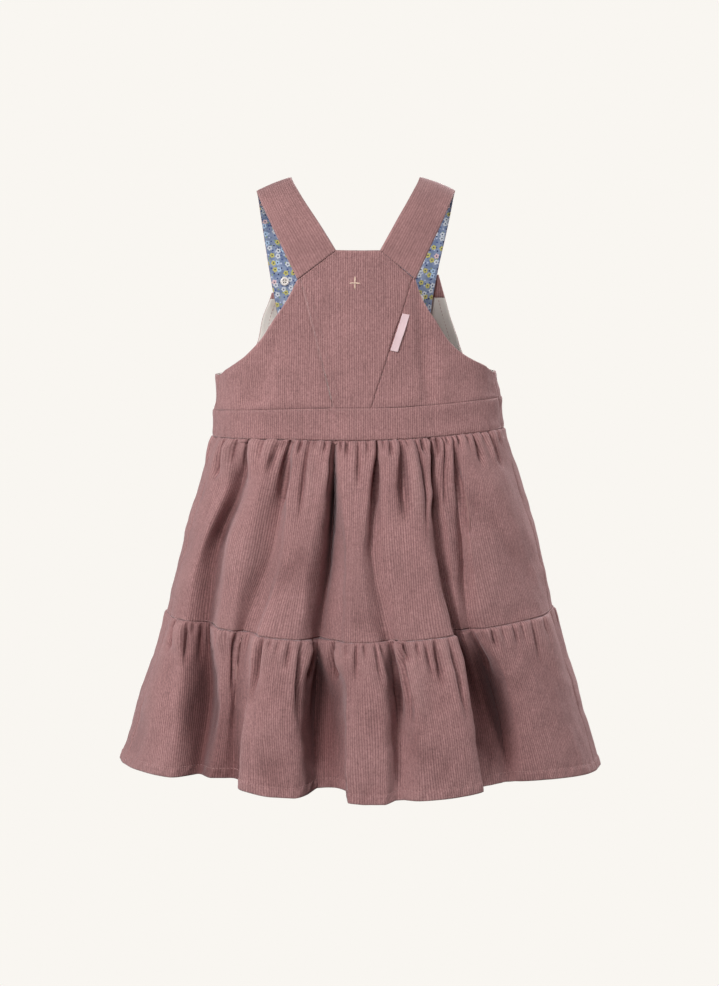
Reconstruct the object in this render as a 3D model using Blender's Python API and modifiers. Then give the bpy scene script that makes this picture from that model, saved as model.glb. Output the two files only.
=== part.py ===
"""Child's corduroy pinafore dress: shaped bodice with a bib front and crossed-over-the-shoulder
straps, a waistband, and a skirt of two gathered tiers.  It keeps the filled-out form it has when
worn, so it is a hollow of thin walls, open at the neck, the armholes and the hem.

Frame: metres, +Z up, the front faces -Y, the wearer's left is +X.  The origin is midway between
the tops of the two straps, and the dress hangs below it.

Every cloth piece is a patch of one smooth form.  A place on the form is given by two numbers:
  around  degrees round the body, 0 at the centre back, + towards the wearer's left, 180 in front
  height  a level number: 0 is the waist seam, 1 the seam between the tiers and 2 the hem; above
          the waist it counts bands of 30 mm, so -1 is the top of the waistband, -2 the underarm
          and -5.88 the neck
"""
from collections import namedtuple

import bmesh
import bpy
import numpy as np
from mathutils import Vector

# ---- driving sizes (metres, degrees) -------------------------------------------------------
CORDUROY = 0.0015            # wall of every corduroy piece
LINING = 0.0010              # wall of the linings, the facing and the label
BAND = 0.030                 # depth of the waistband, and one level number above the waist
GAP = 0.0003                 # clearance between two pieces that are sewn or lie together
ROUNDNESS = 2.25             # 2 is an ellipse, more is squarer
SIDE_SEAM = 80.0             # degrees round from the centre back to each side seam
DROP_PER_FOLD = 0.15         # a crest hangs lower at the hem by this share of its height
SEAM_HOLD = 0.06             # height over which the gathers leave a seam

BUTTON_RADIUS = 0.0080
BUTTON_THICK = 0.0026
BACKING_RADIUS = 0.0043
BACKING_THICK = 0.0015
BUTTON_SIDES = 14

# ---- the form ------------------------------------------------------------------------------
Level = namedtuple("Level", "height back_z left_z front_z right_z left right back front")
FORM = (
    #      height  back_z   left_z   front_z  right_z  left    right   back    front
    Level(-5.88, -0.0647, -0.0647, -0.0647, -0.0647, 0.1345, 0.1375, 0.0640, 0.0660),
    Level(-2.0, -0.1810, -0.1826, -0.1810, -0.1797, 0.1330, 0.1350, 0.0790, 0.0800),
    Level(-1.0, -0.2112, -0.2162, -0.2110, -0.2037, 0.1357, 0.1392, 0.0845, 0.0850),
    Level(0.0, -0.2410, -0.2417, -0.2400, -0.2334, 0.1362, 0.1420, 0.0880, 0.0890),
    Level(0.1, -0.2591, -0.2586, -0.2580, -0.2506, 0.1435, 0.1510, 0.0970, 0.0970),
    Level(0.5, -0.3318, -0.3260, -0.3300, -0.3194, 0.1622, 0.1710, 0.1180, 0.1170),
    Level(1.0, -0.4225, -0.4103, -0.4200, -0.4054, 0.1815, 0.1905, 0.1370, 0.1350),
    Level(1.1, -0.4362, -0.4249, -0.4338, -0.4211, 0.1872, 0.1965, 0.1420, 0.1400),
    Level(1.5, -0.4908, -0.4831, -0.4890, -0.4839, 0.2050, 0.2140, 0.1560, 0.1530),
    Level(2.0, -0.5590, -0.5560, -0.5580, -0.5625, 0.2245, 0.2350, 0.1680, 0.1640),
)

# ---- the large folds of the skirt ----------------------------------------------------------
# Each is a trough (or, with a minus depth, a ridge) that runs down the skirt.  place is in degrees
# round and depth in millimetres, both at five heights: waist, middle of the upper tier, tier
# seam, middle of the lower tier, hem.  wide is how far, in degrees, the trough reaches towards
# + and - , and edge how steep it ends there (2 soft, 6 a wall).
Fold = namedtuple("Fold", "name place depth wide edge")
STATIONS = (0.0, 0.5, 1.0, 1.5, 2.0)
FOLDS = (
    #     name               place at 5 heights        depth (mm)            wide      edge
    Fold("left side ridge", (79, 84, 86, 68, 66), (-2, -3, -2, -4, -3), (4, 5), (2, 2)),
    Fold("left valley", (58, 54, 57, 50, 52), (7, 13, 8, 17, 12), (13, 5), (2, 4)),
    Fold("left hem valley", (44, 44, 44, 43, 43), (0, 0, 3, 12, 20), (12, 9), (2, 6)),
    Fold("left back valley", (36, 38, 43, 44, 44), (6, 9, 4, 0, 0), (8, 3), (2, 4)),
    Fold("deep fold", (13, 12, 15, 14, 14), (7, 15, 10, 18, 12), (5, 6), (2, 3)),
    Fold("deep fold floor", (8, 8, 9, 8, 8), (0, 0, 4, 10, 17), (8, 5), (3, 6)),
    Fold("centre crest", (-6, -6, -6, -8, -10), (0, -2, -5, -9, -15), (9, 16), (4, 2)),
    Fold("centre fold", (-12, -8, -5, -4, -4), (5, 7, 2, 0, 0), (5, 3), (2, 4)),
    Fold("right back fold", (-25, -21, -17, -13, -13), (5, 5, 4, 8, 7), (4, 4), (2, 2)),
    Fold("right valley", (-43, -39, -43, -44, -45), (5, 15, 17, 16, 12), (5, 15), (5, 2)),
    Fold("right inner fold", (-48, -46, -44, -44, -46), (5, 7, 1, 3, 2), (4, 3), (2, 4)),
    Fold("right hem valley", (-56, -56, -56, -56, -57), (0, 0, 0, 6, 12), (10, 12), (2, 2)),
    Fold("right front fold", (-112, -110, -108, -110, -112), (4, 9, 6, 11, 12), (7, 10), (2, 3)),
    Fold("front fold 2", (-133, -136, -134, -131, -130), (5, 11, 8, 14, 16), (9, 6), (3, 2)),
    Fold("front fold 3", (-155, -152, -156, -158, -160), (6, 9, 5, 13, 13), (5, 9), (2, 3)),
    Fold("front fold 4", (-172, -174, -171, -176, -177), (5, 8, 9, 10, 14), (7, 7), (2, 2)),
    Fold("front fold 5", (160, 163, 160, 158, 157), (6, 12, 8, 15, 15), (6, 9), (4, 2)),
    Fold("front fold 6", (141, 138, 141, 136, 134), (5, 9, 7, 11, 14), (9, 6), (2, 3)),
    Fold("left front fold", (116, 118, 113, 112, 114), (4, 10, 7, 12, 11), (8, 8), (2, 3)),
)

# ---- cut lines of the bodice ---------------------------------------------------------------
# Half breadths, in metres from the middle plane, at the heights where a cut line bends.
Cut = namedtuple("Cut", "height left right")
NECK_TO_BAND = (              # centre back panel: neck edge, strap joint, then the two V seams
    Cut(-5.88, 0.0181, 0.0229),
    Cut(-5.04, 0.0519, 0.0541),
    Cut(-1.00, 0.0208, 0.0145),
)
BACK_ARMHOLE = (
    Cut(-4.98, 0.0544, 0.0564),
    Cut(-3.72, 0.0785, 0.0780),
    Cut(-3.03, 0.0945, 0.0965),
    Cut(-2.28, 0.1195, 0.1235),
    Cut(-2.00, 0.1300, 0.1320),
)
BIB_ARMHOLE = (
    Cut(-5.11, 0.0790, 0.0815),
    Cut(-4.52, 0.0821, 0.0862),
    Cut(-3.75, 0.0907, 0.0930),
    Cut(-2.80, 0.0985, 0.1035),
    Cut(-2.35, 0.1120, 0.1150),
    Cut(-2.00, 0.1300, 0.1320),
)
SeamRow = namedtuple("SeamRow", "seam hole")
SIDE_PANEL_ROWS = (           # heights of the back side panels' rows, at the V seam and at the
    SeamRow(-5.04, -4.98),    # armhole; below the underarm the second is on the side seam
    SeamRow(-4.55, -4.30),
    SeamRow(-4.10, -3.70),
    SeamRow(-3.65, -3.20),
    SeamRow(-3.20, -2.80),
    SeamRow(-2.80, -2.48),
    SeamRow(-2.40, -2.25),
    SeamRow(-2.05, -2.09),
    SeamRow(-1.75, -2.00),
    SeamRow(-1.38, -1.50),
    SeamRow(-1.00, -1.00),
)
BIB_UNDERARM = Cut(-2.80, 0.0985, 0.1035)    # where the armhole turns outwards under the arm
BibRow = namedtuple("BibRow", "left right")
UPPER_BIB_ROWS = (            # heights of the bib's rows at its two armhole edges
    BibRow(-4.52, -5.11),
    BibRow(-4.32, -4.37),            # lower edge of the facing
    BibRow(-3.90, -3.90),
    BibRow(-3.35, -3.35),
    BibRow(-2.80, -2.80),
)
FACING_ROW = 1
LOWER_BIB_ROWS = (0.25, 0.5, 0.75, 1.0)      # shares of the way from there to the waistband
UNDERARM_COLUMNS = (0.0, 0.28, 0.55, 0.8)    # shares of the way from the side seam to BIB_UNDERARM
BIB_COLUMNS = 15

# ---- straps --------------------------------------------------------------------------------
# Sections from the back joint over the shoulder to the end inside the bib, across from the
# strap's inner edge to its outer one.  Without y a section lies on the back, or under the bib.
Rest = namedtuple("Rest", "name inner_x inner_y inner_z outer_x outer_y outer_z")
STRAP = {
    "left": (
        Rest("on the back", 0.0181, None, -0.0647, 0.0544, None, -0.0916),
        Rest("shoulder blade", 0.0330, 0.0605, -0.0410, 0.0680, 0.0560, -0.0640),
        Rest("back of shoulder", 0.0490, 0.0440, -0.0165, 0.0825, 0.0400, -0.0340),
        Rest("near the top", 0.0585, 0.0200, -0.0005, 0.0920, 0.0180, -0.0135),
        Rest("top", 0.0614, 0.0000, 0.0040, 0.0948, 0.0000, -0.0073),
        Rest("over the top", 0.0605, -0.0210, -0.0020, 0.0942, -0.0190, -0.0120),
        Rest("front of shoulder", 0.0565, -0.0450, -0.0235, 0.0920, -0.0400, -0.0310),
        Rest("collar bone", 0.0525, -0.0585, -0.0560, 0.0880, -0.0510, -0.0600),
        Rest("under the bib", 0.0480, None, -0.0960, 0.0832, None, -0.0980),
        Rest("under the bib", 0.0462, None, -0.1250, 0.0780, None, -0.1265),
        Rest("under the bib", 0.0445, None, -0.1560, 0.0745, None, -0.1570),
    ),
    "right": (
        Rest("on the back", 0.0229, None, -0.0647, 0.0564, None, -0.0916),
        Rest("shoulder blade", 0.0360, 0.0605, -0.0410, 0.0694, 0.0560, -0.0640),
        Rest("back of shoulder", 0.0500, 0.0440, -0.0165, 0.0835, 0.0400, -0.0340),
        Rest("near the top", 0.0588, 0.0200, -0.0005, 0.0924, 0.0180, -0.0137),
        Rest("top", 0.0614, 0.0000, 0.0040, 0.0953, 0.0000, -0.0078),
        Rest("over the top", 0.0605, -0.0210, -0.0020, 0.0945, -0.0190, -0.0125),
        Rest("front of shoulder", 0.0560, -0.0450, -0.0235, 0.0915, -0.0400, -0.0315),
        Rest("collar bone", 0.0515, -0.0585, -0.0530, 0.0865, -0.0510, -0.0570),
        Rest("under the bib", 0.0475, None, -0.0790, 0.0822, None, -0.0810),
        Rest("under the bib", 0.0450, None, -0.1100, 0.0765, None, -0.1115),
        Rest("under the bib", 0.0430, None, -0.1380, 0.0730, None, -0.1390),
    ),
}
STRAP_ROWS = 18
STRAP_COLUMNS = 3
SPARE_BUTTON = {"left": (0.0690, -0.0930)}                                   # x, z
FASTENED_BUTTON = {"left": (0.0650, -0.1270), "right": (0.0635, -0.1110)}
STRAP_UNDER_BIB = CORDUROY + GAP + LINING + 3 * GAP      # how far inside the form a strap lies

# ---- columns and rows ----------------------------------------------------------------------
BACK_COLUMNS = 66
FRONT_COLUMNS = 48
UPPER_ROWS = (0.0, 0.05, 0.16, 0.38, 0.68, 1.0)
LOWER_ROWS = (1.0, 1.1, 1.35, 1.67, 2.0)
BAND_COLUMNS = 25
BEND_WEIGHT = 0.014          # metres of cloth that one radian of bend counts for in the columns

MAUVE = (0.318, 0.164, 0.160)
Finish = namedtuple("Finish", "colour roughness")
FINISHES = {
    "corduroy": Finish(MAUVE, 0.85),
    "floral cotton": Finish((0.300, 0.360, 0.540), 0.80),
    "lining cotton": Finish((0.640, 0.610, 0.570), 0.85),
    "label tape": Finish((0.780, 0.640, 0.640), 0.60),
    "button": Finish((0.840, 0.810, 0.760), 0.35),
}


# ---- the form, worked out ------------------------------------------------------------------
def smooth_through(xs, ys, at):
    """Curve through the points (xs, ys) with matching slopes, read at the values in at."""
    xs, ys = np.asarray(xs, float), np.asarray(ys, float)
    gaps = np.diff(xs)
    slopes = np.diff(ys) / gaps
    tangents = np.empty_like(ys)
    tangents[0], tangents[-1] = slopes[0], slopes[-1]
    tangents[1:-1] = (slopes[:-1] * gaps[1:] + slopes[1:] * gaps[:-1]) / (gaps[1:] + gaps[:-1])
    at = np.asarray(at, float)
    i = np.clip(np.searchsorted(xs, at, side="right") - 1, 0, len(xs) - 2)
    t = (at - xs[i]) / gaps[i]
    return (
        (2 * t**3 - 3 * t**2 + 1) * ys[i]
        + (t**3 - 2 * t**2 + t) * gaps[i] * tangents[i]
        + (3 * t**2 - 2 * t**3) * ys[i + 1]
        + (t**3 - t**2) * gaps[i] * tangents[i + 1]
    )


def ease_through(xs, ys, at):
    """Curve through the points (xs, ys) that rests at each of them and never overshoots."""
    xs, ys = np.asarray(xs, float), np.asarray(ys, float)
    at = np.clip(at, xs[0], xs[-1])
    i = np.clip(np.searchsorted(xs, at, side="right") - 1, 0, len(xs) - 2)
    t = (at - xs[i]) / (xs[i + 1] - xs[i])
    return ys[i] + (ys[i + 1] - ys[i]) * t * t * (3 - 2 * t)


def form_size(column, height):
    """One column of FORM at a height."""
    return smooth_through([row.height for row in FORM], [getattr(row, column) for row in FORM], height)


def form(around, height):
    """The smooth form: positions and level outward normals, as arrays of (x, y, z)."""
    angle = np.radians(around)
    sin, cos = np.sin(angle), np.cos(angle)
    breadth = np.where(sin >= 0, form_size("left", height), form_size("right", height))
    depth = np.where(cos >= 0, form_size("back", height), form_size("front", height))
    n = ROUNDNESS
    radius = ((abs(sin) / breadth) ** n + (abs(cos) / depth) ** n) ** (-1 / n)
    x, y = radius * sin, radius * cos
    side_z = (1 + sin) / 2 * form_size("left_z", height) + (1 - sin) / 2 * form_size("right_z", height)
    middle_z = np.where(cos >= 0, form_size("back_z", height), form_size("front_z", height))
    z = side_z + cos**2 * (middle_z - side_z)
    normal_x = np.sign(x) * abs(x / breadth) ** (n - 1) / breadth
    normal_y = np.sign(y) * abs(y / depth) ** (n - 1) / depth
    size = np.hypot(normal_x, normal_y)
    normals = np.stack([normal_x / size, normal_y / size, 0 * x], -1)
    return np.stack([x, y, z], -1), normals


def form_normal(around, height):
    """Outward normal of the form at one place, with its slope up and down."""
    points, level = form(np.full(3, around), height + np.array([-0.1, 0.0, 0.1]))
    down = points[2] - points[0]
    normal = level[1] - down * np.dot(level[1], down) / np.dot(down, down)
    return points[1], normal / np.linalg.norm(normal)


def bodice_height(z):
    """Level number of a place on the bodice, from how low it is."""
    return -(z - FORM[3].back_z) / BAND


def around_at(x, height, front=False):
    """Degrees round the form at which it is x metres from the middle plane."""
    breadth = form_size("left", height) if x >= 0 else form_size("right", height)
    depth = form_size("front" if front else "back", height)
    share = min(abs(x) / breadth, 1.0)
    y = depth * (1 - share**ROUNDNESS) ** (1 / ROUNDNESS)
    angle = np.degrees(np.arctan2(x, -y if front else y))
    return float(angle)


def folded(around, height):
    """The form with its large folds: positions and level outward normals."""
    points, normals = form(around, height)
    rise = np.zeros_like(around, float)
    for fold in FOLDS:
        place = smooth_through(STATIONS, fold.place, np.clip(height, 0, 2))
        depth = ease_through(STATIONS, fold.depth, height) / 1000
        away = (around - place + 180) % 360 - 180
        wide = np.where(away > 0, fold.wide[0], fold.wide[1])
        edge = np.where(away > 0, fold.edge[0], fold.edge[1])
        rise -= depth * np.exp(-((abs(away) / wide) ** edge))
    free = np.clip(height / SEAM_HOLD, 0, 1)
    rise = rise * free * free * (3 - 2 * free)
    points = points + normals * rise[..., None]
    points[..., 2] -= DROP_PER_FOLD * rise * np.clip(height / 2, 0, 1)
    return points, level_normals(points)


def level_normals(points):
    """Outward normals, kept level, of rows of points that run round the body."""
    along = np.gradient(points, axis=1)
    normals = np.stack([-along[..., 1], along[..., 0], 0 * along[..., 0]], -1)
    return normals / np.linalg.norm(normals, axis=-1, keepdims=True)


def columns(start, end, count):
    """Columns from start to end degrees round, closer together where the cloth bends most."""
    fine = np.linspace(start, end, 1200)
    measure = np.zeros_like(fine)
    for height in (0.5, 1.5, 2.0):
        points, _ = folded(fine[None], np.full((1, len(fine)), height))
        step = np.diff(points[0, :, :2], axis=0)
        heading = np.unwrap(np.arctan2(step[:, 1], step[:, 0]))
        bend = abs(np.diff(heading, append=heading[-1]))
        measure[1:] += np.cumsum(np.hypot(step[:, 0], step[:, 1]) + BEND_WEIGHT * bend)
    return np.interp(np.linspace(0, measure[-1], count + 1), measure, fine)


# ---- meshes --------------------------------------------------------------------------------
def grid_faces(rows, cols):
    """Two triangles for each cell of a grid, split the same way in every layer of cloth."""
    index = np.arange(rows * cols).reshape(rows, cols)
    a, b, c, d = index[:-1, :-1], index[:-1, 1:], index[1:, 1:], index[1:, :-1]
    return np.concatenate([np.stack([a, b, c], -1).reshape(-1, 3), np.stack([a, c, d], -1).reshape(-1, 3)])


def two_skins(outer, inner):
    """Closed wall between two grids of points: both skins and the rim round their edges.

    Cells of the grid that have a corner without a position are left out.
    """
    skin = grid_faces(*outer.shape[:2])
    outer, inner = outer.reshape(-1, 3), inner.reshape(-1, 3)
    skin = skin[~np.isnan(outer[skin]).any(axis=(1, 2))]
    used, skin = np.unique(skin, return_inverse=True)
    skin, count = skin.reshape(-1, 3), len(used)
    edges = np.concatenate([skin[:, [0, 1]], skin[:, [1, 2]], skin[:, [2, 0]]])
    inside = set(map(tuple, edges[:, ::-1].tolist()))
    rim = np.array([edge for edge in edges.tolist() if tuple(edge) not in inside])
    start, end = rim.T
    side = np.concatenate([
        np.stack([end, start, start + count], -1), np.stack([end, start + count, end + count], -1)
    ])
    faces = np.concatenate([skin, skin[:, ::-1] + count, side])
    return np.concatenate([outer[used], inner[used]]), faces


def make_object(name, points, faces, finish):
    """One named piece of the dress from its points and faces."""
    mesh = bpy.data.meshes.new(name)
    mesh.from_pydata(points.tolist(), [], faces.tolist())
    mesh.materials.append(bpy.data.materials[finish])
    piece = bpy.data.objects.new(name, mesh)
    dress.objects.link(piece)
    piece.parent = shoulders
    return piece


def level_wall(name, points, normals, finish, wall=CORDUROY, inset=0.0):
    """Cloth wall whose thickness lies level, so that its seam edges are flat and can butt."""
    outer = points - normals * inset
    inner = points - normals * (inset + wall)
    return make_object(name, *two_skins(outer, inner), finish)


def solid_sheet(name, points, finish, wall):
    """Cloth sheet with a Solidify wall behind its face."""
    piece = make_object(name, points.reshape(-1, 3), grid_faces(*points.shape[:2]), finish)
    solidify = piece.modifiers.new("wall", "SOLIDIFY")
    solidify.thickness = wall
    solidify.offset = -1
    return piece


def finish_material(name, finish):
    """Principled material of one finish."""
    material = bpy.data.materials.new(name)
    material.use_nodes = True
    shader = material.node_tree.nodes["Principled BSDF"]
    shader.inputs["Base Color"].default_value = (*finish.colour, 1.0)
    shader.inputs["Roughness"].default_value = finish.roughness
    shader.inputs["Metallic"].default_value = 0.0


# ---- skirt and band ------------------------------------------------------------------------
def ring_wall(name, heights, places):
    """Wall between the first and last height, half a seam gap short of each."""
    around, height = np.meshgrid(places, heights)
    points, normals = folded(around, height)
    for end, sign in ((0, 1), (-1, -1)):         # half a gap back from the side seams
        normals[:, end] = form(around[:, end], height[:, end])[1]
        sideways = np.stack([normals[:, end, 1], -normals[:, end, 0]], -1)
        points[:, end, :2] += sign * sideways * GAP / 2
    points[0, :, 2] -= GAP / 2
    points[-1, :, 2] += GAP / 2
    return level_wall(name, points, normals, "corduroy")


def make_skirt_and_band():
    """Two tiers and the waistband, each cut in a back and a front that meet at the side seams."""
    halves = {
        "back": (-SIDE_SEAM, SIDE_SEAM, BACK_COLUMNS),
        "front": (SIDE_SEAM, 360 - SIDE_SEAM, FRONT_COLUMNS),
    }
    for half, (start, end, count) in halves.items():
        places = columns(start, end, count)
        ring_wall(f"skirt_upper_{half}", UPPER_ROWS, places)
        ring_wall(f"skirt_lower_{half}", LOWER_ROWS, places)
        ring_wall(f"band_{half}", (-1.0, 0.0), np.linspace(start, end, BAND_COLUMNS))


# ---- bodice --------------------------------------------------------------------------------
def cut_x(cuts, height, side):
    """Signed distance from the middle plane of a cut line, on the left or the right."""
    x = smooth_through([row.height for row in cuts], [getattr(row, side) for row in cuts], height)
    return x if side == "left" else -x


def straight_cut_x(cuts, height, side):
    """The same for a line that is straight between its rows."""
    x = np.interp(height, [row.height for row in cuts], [getattr(row, side) for row in cuts])
    return x if side == "left" else -x


def patch(start_edge, end_edge, count):
    """Grid of places on the form between two edges, each a list of (around, height) rows."""
    share = np.linspace(0, 1, count)[None, :]
    start_edge, end_edge = np.array(start_edge)[:, None], np.array(end_edge)[:, None]
    around = start_edge[..., 0] * (1 - share) + end_edge[..., 0] * share
    height = start_edge[..., 1] * (1 - share) + end_edge[..., 1] * share
    return around, height


def armhole_edge(height, side, gap):
    """Outer edge of a side panel: the armhole above, the side seam below."""
    seam = SIDE_SEAM - gap
    if height > -2.0:
        return seam if side == "left" else -seam
    place = around_at(float(cut_x(BACK_ARMHOLE, height, side)), height)
    return min(place, seam) if side == "left" else max(place, -seam)


def band_top_gap(points):
    """Lifts the lowest row half a gap clear of the waistband."""
    points[-1, :, 2] += GAP / 2
    return points


def make_back_bodice():
    """Centre panel that narrows to a V, and the two side panels round the armholes."""
    gap = GAP / 2
    rows = (-5.88, -5.46, -5.04, -4.4, -3.8, -3.2, -2.6, -2.0, -1.5, -1.0)
    edges = {
        side: [
            (around_at(float(straight_cut_x(NECK_TO_BAND, h, side)) + (-gap if side == "left" else gap), h), h)
            for h in rows
        ]
        for side in ("left", "right")
    }
    points, normals = form(*patch(edges["right"], edges["left"], 9))
    level_wall("back_centre_panel", band_top_gap(points), normals, "corduroy")

    seam_gap = np.degrees(gap / FORM[1].left)
    for side, sign in (("left", 1), ("right", -1)):
        seam = [
            (around_at(float(straight_cut_x(NECK_TO_BAND, row.seam, side)) + sign * gap, row.seam), row.seam)
            for row in SIDE_PANEL_ROWS
        ]
        hole = [(armhole_edge(row.hole, side, seam_gap), row.hole) for row in SIDE_PANEL_ROWS]
        ends = (seam, hole) if side == "left" else (hole, seam)
        points, normals = form(*patch(*ends, 10))
        level_wall(f"back_side_{side}", band_top_gap(points), normals, "corduroy")


def bib_hole(height, side):
    """Degrees round to the bib's armhole edge, counted from the centre back on either side."""
    return abs(around_at(float(cut_x(BIB_ARMHOLE, height, side)), height, front=True))


def underarm_top(around, side):
    """Height of the bib's edge under the arm, between the side seam and BIB_UNDERARM."""
    heights = np.linspace(BIB_UNDERARM.height, -2.0, 30)
    arounds = [bib_hole(height, side) for height in heights[:-1]] + [SIDE_SEAM]
    return np.interp(around, arounds[::-1], heights[::-1])


def bib_places():
    """Grid of places of the whole bib.  Above BIB_UNDERARM the columns under the arms are empty."""
    upper = patch(
        [(bib_hole(row.left, "left"), row.left) for row in UPPER_BIB_ROWS],
        [(360 - bib_hole(row.right, "right"), row.right) for row in UPPER_BIB_ROWS],
        BIB_COLUMNS,
    )
    grids = []
    for side, sign in (("left", 1), ("right", -1)):
        underarm = bib_hole(BIB_UNDERARM.height, side)
        around = SIDE_SEAM + (underarm - SIDE_SEAM) * np.array(UNDERARM_COLUMNS)
        top = underarm_top(around, side)
        grids.append(((around % 360)[::sign] * sign % 360, top[::sign]))
    (left_around, left_top), (right_around, right_top) = grids
    around = np.concatenate([left_around, upper[0][-1], right_around])
    top = np.concatenate([left_top, upper[1][-1], right_top])
    share = np.array(LOWER_BIB_ROWS)[:, None]
    lower_heights = np.concatenate([top[None], top * (1 - share) - share])
    lower = np.broadcast_to(around, lower_heights.shape), lower_heights
    empty = np.full((len(UPPER_BIB_ROWS) - 1, len(left_around)), np.nan)
    return tuple(
        np.concatenate([np.concatenate([empty, above[:-1], empty], axis=1), below])
        for above, below in zip(upper, lower)
    )


def make_bib():
    """Bib front, with the turned facing and the lining behind it."""
    points, normals = form(*bib_places())
    for end, sign in ((0, 1), (-1, -1)):         # half a gap back from the side seams
        sideways = np.stack([normals[:, end, 1], -normals[:, end, 0]], -1)
        points[:, end, :2] += sign * sideways * GAP / 2
    level_wall("front_bib", band_top_gap(points), normals, "corduroy")

    inset = CORDUROY + GAP
    facing, facing_normals = points[: FACING_ROW + 1].copy(), normals[: FACING_ROW + 1]
    facing[-1, :, 2] += GAP / 2
    level_wall("bib_facing", facing, facing_normals, "corduroy", LINING, inset)
    lining, lining_normals = points[FACING_ROW:].copy(), normals[FACING_ROW:]
    lining[0, :, 2] -= GAP / 2
    level_wall("bib_lining", lining, lining_normals, "lining cotton", LINING, inset)


# ---- straps --------------------------------------------------------------------------------
def strap_edges(side):
    """The strap's inner and outer edge lines, each an array of points from the back joint on."""
    sign = 1 if side == "left" else -1
    edges = []
    for edge in ("inner", "outer"):
        line = []
        for rest in STRAP[side]:
            x, y, z = (getattr(rest, f"{edge}_{axis}") for axis in "xyz")
            point = np.array((sign * x, 0.0 if y is None else y, z))
            if y is None:
                front = rest.name == "under the bib"
                place = around_at(point[0], bodice_height(z), front)
                spot, normal = form(np.array(place), np.array(bodice_height(z)))
                point = spot - (normal * STRAP_UNDER_BIB if front else 0.0)
            line.append(point)
        line = np.array(line)
        reach = np.concatenate([[0], np.cumsum(np.linalg.norm(np.diff(line, axis=0), axis=1))])
        at = np.linspace(0, reach[-1], STRAP_ROWS)
        edges.append(np.stack([smooth_through(reach, line[:, k], at) for k in range(3)], -1))
    return edges


def strap_grid(side):
    """Outer face of a strap, from its front end to the back joint, straight across its width."""
    inner, outer = strap_edges(side)
    share = np.linspace(0, 1, STRAP_COLUMNS)[None, :, None]
    grid = inner[:, None] * (1 - share) + outer[:, None] * share
    joint_gap = Vector(grid[1, 1] - grid[0, 1]).normalized() * GAP
    grid[0] += np.array(joint_gap)
    grid = grid[::-1]
    return grid if side == "left" else grid[:, ::-1]


def sheet_normals(points):
    """Normals of the face of a grid, the side from which its columns run left to right."""
    normals = np.cross(np.gradient(points, axis=1), np.gradient(points, axis=0))
    return normals / np.linalg.norm(normals, axis=-1, keepdims=True)


def make_straps():
    """Each strap: corduroy outside, with the floral lining 0.3 mm inside it."""
    for side in ("left", "right"):
        grid = strap_grid(side)
        solid_sheet(f"strap_{side}", grid, "corduroy", CORDUROY)
        lining = grid - sheet_normals(grid) * (CORDUROY + GAP)
        solid_sheet(f"strap_lining_{side}", lining, "floral cotton", LINING)


# ---- buttons and label ---------------------------------------------------------------------
def add_button(name, centre, facing, radius, thick):
    """Round four-hole button: a disc whose back face is at centre and whose face looks along facing."""
    mesh = bpy.data.meshes.new(name)
    work = bmesh.new()
    bmesh.ops.create_cone(
        work, cap_ends=True, segments=BUTTON_SIDES, radius1=radius * 0.92, radius2=radius, depth=thick * 0.999
    )
    work.to_mesh(mesh)
    work.free()
    mesh.materials.append(bpy.data.materials["button"])
    button = bpy.data.objects.new(name, mesh)
    dress.objects.link(button)
    for number in range(4):
        turn = np.radians(45 + 90 * number)
        hole_mesh = bpy.data.meshes.new(f"{name}_hole_{number}")
        work = bmesh.new()
        bmesh.ops.create_cone(
            work, cap_ends=True, segments=4, radius1=radius * 0.12, radius2=radius * 0.12, depth=thick * 3
        )
        offset = Vector((np.cos(turn), np.sin(turn), 0)) * radius * 0.25
        bmesh.ops.translate(work, vec=offset, verts=work.verts)
        work.to_mesh(hole_mesh)
        work.free()
        hole = bpy.data.objects.new(hole_mesh.name, hole_mesh)
        hole.hide_render = True
        hole.display_type = "WIRE"
        hole.parent = button
        cutters.objects.link(hole)
        cut = button.modifiers.new(f"hole {number}", "BOOLEAN")
        cut.operation = "DIFFERENCE"
        cut.object = hole
    facing = Vector(facing).normalized()
    button.rotation_mode = "QUATERNION"
    button.rotation_quaternion = facing.to_track_quat("Z", "Y")
    button.location = Vector(centre) + facing * (thick / 2)
    button.parent = shoulders
    return button


def strap_point(side, x, z):
    """Point and outward normal of a strap's face at a place in front, x and z from the frame."""
    grid = strap_grid(side)
    normals = sheet_normals(grid)
    x = x if side == "left" else -x
    front = grid[..., 1] < -0.01
    distance = np.where(front, np.hypot(grid[..., 0] - x, grid[..., 2] - z), np.inf)
    nearest = np.unravel_index(distance.argmin(), distance.shape)
    normal = normals[nearest]
    point = grid[nearest]
    y = point[1] - (normal[0] * (x - point[0]) + normal[2] * (z - point[2])) / normal[1]
    return np.array([x, y, z]), normal


def make_buttons():
    """The buttons that hold the bib, the spare one on the longer strap, and a backing behind each."""
    clear = 2 * GAP                              # a flat disc on a curved face
    lining_back = CORDUROY + GAP + LINING
    for use, places in (("spare", SPARE_BUTTON), ("bib", FASTENED_BUTTON)):
        for side, (x, z) in places.items():
            point, normal = strap_point(side, x, z)
            back = point - normal * (lining_back + clear)
            add_button(f"backing_{use}_{side}", back, -normal, BACKING_RADIUS, BACKING_THICK)
            if use == "bib":
                place = around_at(x if side == "left" else -x, bodice_height(z), True)
                point, normal = form_normal(place, bodice_height(z))
            add_button(f"button_{use}_{side}", point + normal * clear, normal, BUTTON_RADIUS, BUTTON_THICK)


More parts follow.
